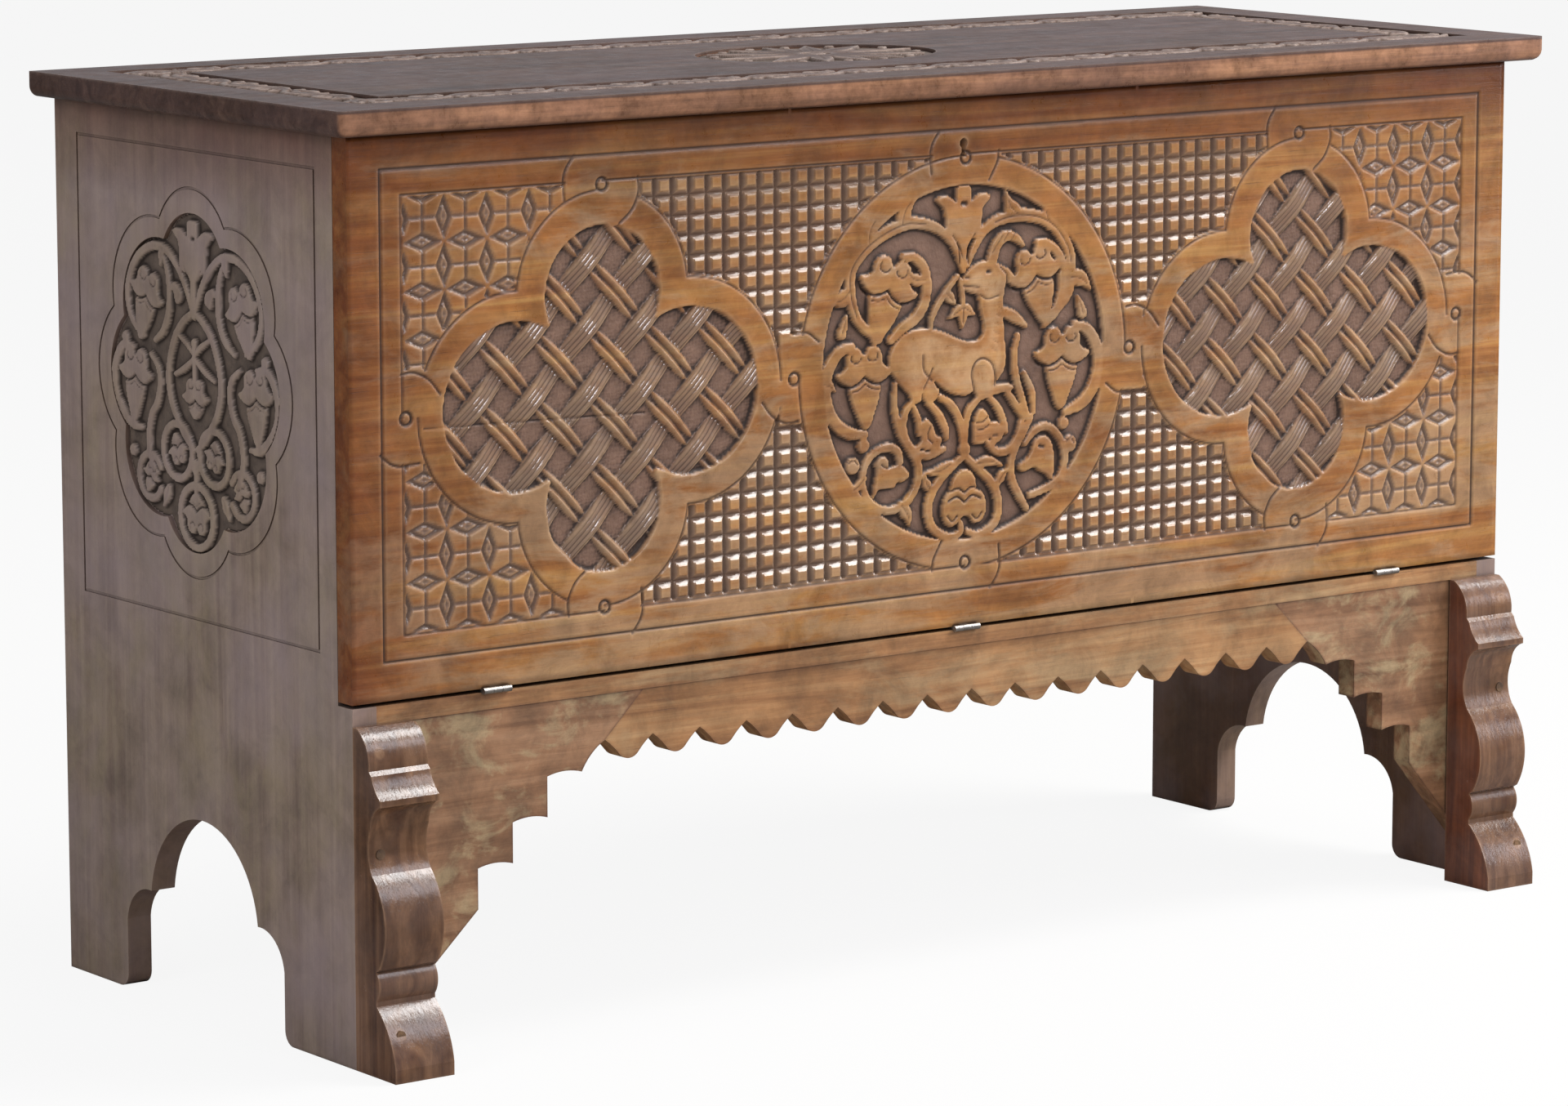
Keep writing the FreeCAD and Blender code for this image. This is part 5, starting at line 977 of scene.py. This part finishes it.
    marks = ("ground", "sheen", "furrow", "worn", "hollow", "depth")
    sunk, waxed, strap, proud, sheltered, depth = (
        node(tree, "Attribute", attribute_name=mark).outputs["Fac"] for mark in marks)
    grit = node(tree, "MapRange", {"Value": specks, "From Min": 0.25, "From Max": 0.75, "To Min": 0.72,
                                   "To Max": 1.25})
    floor_tone = node(tree, "VectorMath", {0: colour(ground)[:3], 1: grit}, operation="MULTIPLY")
    tone = node(tree, "Mix", {"Factor": sunk, "A": tone, "B": floor_tone}, data_type="RGBA")
    skin = node(tree, "Math", {0: waxed, 1: 0.7}, operation="MULTIPLY")
    tone = node(tree, "Mix", {"Factor": skin, "A": tone, "B": "#77665c"}, data_type="RGBA")
    # Painted shade: the straps' fine grooves are a bump only, so dark lines are painted in them.
    across = node(tree, "VectorMath", {0: place, 1: (0.7071, 0.0, -0.7071)}, operation="DOT_PRODUCT")
    wander = node(tree, "Math", {0: stains, 1: 0.006, 2: across.outputs["Value"]}, operation="MULTIPLY_ADD")
    combing = node(tree, "Math", {0: wander, 1: 2 * math.pi / STRAP_GROOVE}, operation="MULTIPLY")
    combing = node(tree, "Math", {0: combing}, operation="SINE")
    painted_groove_shade = node(tree, "MapRange", {"Value": combing, "From Min": -0.3, "From Max": -1.0, "To Min": 0.0,
                                     "To Max": 0.75})
    painted_groove_shade = node(tree, "Math", {0: painted_groove_shade, 1: strap}, operation="MULTIPLY")
    tone = node(tree, "Mix", {"Factor": painted_groove_shade, "A": tone, "B": "#4a3a30"}, data_type="RGBA")

    if arris:
        within = node(tree, "AmbientOcclusion", {"Distance": 0.003}, samples=6, inside=True, only_local=True)
        sharp = node(tree, "MapRange", {"Value": within.outputs["AO"], "From Min": 0.85, "From Max": 0.45,
                                        "To Min": 0.0, "To Max": arris})
        proud = node(tree, "Math", {0: proud, 1: sharp}, operation="MAXIMUM")
    # Rubbed pale edges; on the lid the pale edges also stand in as painted glints.
    rub_and_glint = node(tree, "MapRange", {"Value": specks, "From Min": 0.3, "From Max": 0.65, "To Min": 0.3,
                                  "To Max": 1.0})
    rub_and_glint = node(tree, "Math", {0: proud, 1: rub_and_glint}, operation="MULTIPLY")
    rub_and_glint = node(tree, "Math", {0: rub_and_glint, 1: wear}, operation="MULTIPLY", use_clamp=True)
    tone = node(tree, "Mix", {"Factor": rub_and_glint, "A": tone, "B": rub_and_glint_tone}, data_type="RGBA")
    # Dirt in the hollows and with depth, joined with painted shade from occlusion in the crevices.
    open_sky = node(tree, "AmbientOcclusion", {"Distance": 0.006}, samples=6)
    crevice_shade = node(tree, "MapRange", {"Value": open_sky.outputs["AO"], "From Min": 0.7, "From Max": 0.3,
                                      "To Min": 0.0, "To Max": 0.75})
    dirt_and_shade = node(tree, "MapRange", {"Value": sheltered, "From Min": 0.15, "From Max": 1.0})
    dirt_and_shade = node(tree, "Math", {0: depth, 1: 0.1, 2: dirt_and_shade}, operation="MULTIPLY_ADD")
    dirt_and_shade = node(tree, "Math", {0: dirt_and_shade, 1: crevice_shade}, operation="MAXIMUM")
    clean = node(tree, "Math", {0: waxed, 1: -0.65 * hollow, 2: hollow}, operation="MULTIPLY_ADD")
    dirt_and_shade = node(tree, "Math", {0: dirt_and_shade, 1: clean}, operation="MULTIPLY", use_clamp=True)
    tone = node(tree, "Mix", {"Factor": dirt_and_shade, "A": tone, "B": dirt_and_shade_tone}, data_type="RGBA")

    gloss = node(tree, "MapRange", {"Value": specks, "From Min": 0.3, "From Max": 0.7, "To Min": rough[0],
                                    "To Max": rough[1]})
    for share, change in ((dirt_and_shade, 0.2), (sunk, 0.15), (waxed, -0.18), (strap, -0.08)):
        gloss = node(tree, "Math", {0: share, 1: change, 2: gloss}, operation="MULTIPLY_ADD", use_clamp=True)
    tool_marks = node(tree, "TexNoise", {"Vector": place, "Scale": 260.0, "Detail": 2.0, "Roughness": 0.6})
    chops = node(tree, "Math", {0: tool_marks, 1: sunk}, operation="MULTIPLY")
    comb = node(tree, "Math", {0: combing, 1: strap}, operation="MULTIPLY")
    height = fibres
    for part, share in ((pore, -0.8), (specks, 0.5), (chops, 2.5), (comb, 1.6)):
        height = node(tree, "Math", {0: part, 1: share, 2: height}, operation="MULTIPLY_ADD")
    bump = node(tree, "Bump", {"Height": height, "Strength": 0.35, "Distance": 0.0007})
    shader = node(tree, "BsdfPrincipled", {"Base Color": tone, "Roughness": gloss, "Normal": bump,
                                           "IOR": ior, "Specular IOR Level": gleam})
    node(tree, "OutputMaterial", {"Surface": shader})
    print("finish:", name)
    return material


front_wood = walnut("waxed_walnut_carved_front", ("#845026", "#986433", "#a97b44"), 0, (0.26, 0.42),
                    patches=0.5, patch_tone="#a28768", streak=0.5, shade_left=0.8, lean=0.4, ior=1.5,
                    gleam=0.4, grime=0.36, hollow=1.0, wear=0.3, dirt_and_shade_tone="#33231a", ground="#765948")
# The ends and the brackets take inner_shade: painted shade, darker and redder, on faces turned to the
# middle.
end_wood = walnut("waxed_walnut_carved_end", ("#826d5e", "#8e7a69", "#9a8672"), 2, (0.42, 0.6),
                  rub_and_glint_tone="#a08c76", ground="#4e4138", wear=0.4, bloom=0.6, bloom_tone="#8a7a7c", streak=0.25,
                  hollow=1.0, inner_shade=(0.62, 0.42, 0.3), arris=0.5, grime=0.26, dirt_and_shade_tone="#2e231b", patches=0.5,
                  patch_tone="#8d7d62", spread=(0.2, 4.5))
# On the lid, edge paints the front edge lighter as painted light, and the pale rubbed edges also stand in as
# painted glints.
lid_wood = walnut("dark_waxed_walnut_lid", ("#44322a", "#523d34", "#614a3e"), 0, (0.24, 0.4),
                  rub_and_glint_tone="#a8968a", ground="#2c231d", wear=0.7, bloom=0.4, bloom_tone="#504244", streak=0.7,
                  shade=None, edge=(3.3, 2.9, 2.15), arris=0.5, gleam=0.2, grime=0.3)
leg_wood = walnut("polished_walnut_brackets", ("#4b2f20", "#63442e", "#7e5b40"), 2, (0.13, 0.28), bloom=0.35,
                  bloom_tone="#7a6b66", streak=0.5, ior=1.5, arris=0.6, rub_and_glint_tone="#b08a68", grime=0.4,
                  gleam=0.42, inner_shade=(1.0, 0.58, 0.4), inner_shade_from=-0.05)
apron_wood = walnut("worn_walnut_apron", ("#7c5230", "#976b42", "#ab8358"), 0, (0.4, 0.6), patches=0.35,
                    patch_tone="#a4906c", streak=0.5, arris=0.6, wear=0.8, rub_and_glint_tone="#63402a", grime=0.36)
wing_wood = walnut("bleached_walnut_apron_wings", ("#745035", "#8b6445", "#9c7656"), 0, (0.45, 0.65),
                   patches=0.6, patch_tone="#aa9771", streak=0.3, arris=1.0, wear=1.0, rub_and_glint_tone="#533121",
                   spread=(0.15, 14.0), grime=0.45)
board_wood = walnut("plain_walnut_boards", ("#6d5340", "#7d604a", "#8c7056"), 0, (0.45, 0.65))
peg_wood = walnut("oak_pegs", ("#5b4330", "#75593f", "#8c6c4c"), 1, (0.4, 0.6))

# %% [markdown]
# ## Iron
# The hinges and the lock plate are filed steel that has greyed, and the stays are forged
# and dark. Both are metals whose roughness and tone wander, with brown specks of rust
# about 3 mm across.

# %% The iron recipe
def iron(name, tones, rough, rust):
    """Two greys mixed by a noise of 12 mm, rust where a finer noise is high, a hammered bump."""
    material = bpy.data.materials.new(name)
    tree = emptied(material)
    place = node(tree, "TexCoord").outputs["Object"]
    broad = node(tree, "TexNoise", {"Vector": place, "Scale": 85.0, "Detail": 3.0})
    fine = node(tree, "TexNoise", {"Vector": place, "Scale": 330.0, "Detail": 4.0, "Roughness": 0.7})
    body = node(tree, "ValToRGB", {"Fac": broad}, stops=[(0.35, tones[0]), (0.65, tones[1])])
    rusty = node(tree, "MapRange", {"Value": fine, "From Min": 0.52, "From Max": 0.66, "To Min": 0.0,
                                    "To Max": rust})
    tone = node(tree, "Mix", {"Factor": rusty, "A": body, "B": "#4a3022"}, data_type="RGBA")
    metal = node(tree, "Math", {0: 1.0, 1: rusty}, operation="SUBTRACT", use_clamp=True)
    gloss = node(tree, "MapRange", {"Value": broad, "From Min": 0.3, "From Max": 0.7, "To Min": rough[0],
                                    "To Max": rough[1]})
    bump = node(tree, "Bump", {"Height": fine, "Strength": 0.3, "Distance": 0.0004})
    shader = node(tree, "BsdfPrincipled", {"Base Color": tone, "Metallic": metal, "Roughness": gloss,
                                           "Normal": bump})
    node(tree, "OutputMaterial", {"Surface": shader})
    print("finish:", name)
    return material


filed_iron = iron("filed_iron_hinges", ("#8f8a84", "#b5b0a8"), (0.32, 0.5), 0.5)
forged_iron = iron("forged_iron_stays", ("#4a4643", "#6a6560"), (0.45, 0.65), 0.6)

# %% [markdown]
# ## Every piece gets its finish
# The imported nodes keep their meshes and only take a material. A short list pairs the start
# of a node's name with its finish, and the first match counts.

# %% Finishes by name
FINISHES = [
    ("fall_front_panel", front_wood), ("left_side_board", end_wood), ("right_side_board", end_wood),
    ("lid_board", lid_wood), ("bracket_leg", leg_wood), ("bracket_pegs", peg_wood),
    ("apron_centre", apron_wood), ("apron_wing", wing_wood), ("floor_board", apron_wood),
    ("front_hinge", filed_iron), ("lock", filed_iron), ("strike", filed_iron), ("lid_hinge", forged_iron),
    ("stay", forged_iron), ("", board_wood)]


def dress(thing, material):
    """Put one material on a mesh in place of any it has."""
    thing.data.materials.clear()
    thing.data.materials.append(material)


for name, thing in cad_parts.items():
    dress(thing, next(material for start, material in FINISHES if name.startswith(start)))
for pieces, material in ((front_pieces, front_wood), (end_pieces, end_wood), (lid_pieces, lid_wood)):
    for piece in pieces:
        dress(piece, material)
print("dressed:", len(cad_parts) + len(front_pieces) + len(end_pieces) + len(lid_pieces))

# %% [markdown]
# ## Floor, light and camera
# A pale floor, a white surround that the camera sees, and five soft lamps: a wide one high on
# the right for the carving's upward facets, two before the front, and a weak one at each end.
# The camera looks down by 9 degrees from the front left through a long lens.

# %% The studio
def studio_surface(name, tone, whiteness):
    """A matt pale surface, plain white for the camera by a share and mostly dark in the polish's mirror."""
    material = bpy.data.materials.new(name)
    tree = emptied(material)
    matt = node(tree, "BsdfDiffuse", {"Color": tone})
    white = node(tree, "Emission", {"Color": "#ffffff", "Strength": 1.0})
    black = node(tree, "Emission", {"Color": "#000000", "Strength": 0.0})
    seen = node(tree, "LightPath").outputs
    share = node(tree, "Math", {0: seen["Is Camera Ray"], 1: whiteness}, operation="MULTIPLY")
    hidden = node(tree, "Math", {0: seen["Is Glossy Ray"], 1: 0.7}, operation="MULTIPLY")
    mixed = node(tree, "MixShader", {0: share, 1: matt, 2: white})
    mixed = node(tree, "MixShader", {0: hidden, 1: mixed, 2: black})
    node(tree, "OutputMaterial", {"Surface": mixed})
    return material


FLOOR_HALF, FLOOR_CORNERS = 30, [(-1, -1), (1, -1), (1, 1), (-1, 1)]
floor_mesh = bpy.data.meshes.new("floor")
floor_mesh.from_pydata([(a * FLOOR_HALF, b * FLOOR_HALF, 0) for a, b in FLOOR_CORNERS], [], [(0, 1, 2, 3)])
floor = bpy.data.objects.new("studio_floor", floor_mesh)
bpy.context.scene.collection.objects.link(floor)
dress(floor, studio_surface("matt_pale_floor", "#c9c6c1", 0.9))

world = bpy.data.worlds.new("studio")
world_tree = emptied(world)
seen = node(world_tree, "LightPath").outputs
ambient = node(world_tree, "Background", {"Color": "#e8ecf4", "Strength": 0.42})
white = node(world_tree, "Background", {"Color": "#ffffff", "Strength": 1.0})
mixed = node(world_tree, "MixShader", {0: seen["Is Camera Ray"], 1: ambient, 2: white})
node(world_tree, "OutputWorld", {"Surface": mixed})
bpy.context.scene.world = world


def lamp(name, place, target, size, power, tone="#ffffff"):
    """A square soft lamp at a place, facing a target."""
    light = bpy.data.lights.new(name, "AREA")
    light.size, light.energy, light.color = size, power, colour(tone)[:3]
    thing = bpy.data.objects.new(name, light)
    thing.location = place
    thing.rotation_euler = (Vector(target) - Vector(place)).to_track_quat("-Z", "Y").to_euler()
    bpy.context.scene.collection.objects.link(thing)
    print("lamp", name, power, "W")


lamp("high_right_lamp", (2.0, -0.95, 3.3), (0.1, -0.2, 0.5), 1.6, 165)
lamp("front_lamp", (1.9, -2.7, 2.7), (0.0, -0.2, 0.4), 1.3, 38, "#f6f6ff")
lamp("window_lamp", (-0.1, -3.4, 2.0), (0.0, -0.2, 0.45), 0.7, 34, "#f6f6ff")
lamp("right_lamp", (2.6, -1.5, 1.0), (0.4, -0.2, 0.3), 0.8, 14, "#f6f6ff")
lamp("left_fill_lamp", (-3.3, -0.7, 1.9), (-0.6, 0.0, 0.4), 1.4, 36, "#f4f4ff")

# %% The camera
LENS, SENSOR, STAND, LOOK = 137.4, 36, (-3.0346, -4.0187, 1.1476), (0.58959, 0.79137, -0.16164)
camera = bpy.data.cameras.new("photo_view")
camera.lens, camera.sensor_width = LENS, SENSOR
viewer = bpy.data.objects.new("photo_view", camera)
viewer.location = STAND
viewer.rotation_mode = "QUATERNION"
viewer.rotation_quaternion = Vector(LOOK).to_track_quat("-Z", "Y")
camera.clip_end = 100
bpy.context.scene.collection.objects.link(viewer)
bpy.context.scene.camera = viewer
bpy.context.scene.view_settings.view_transform = "Standard"
print("camera lens", camera.lens, "mm")
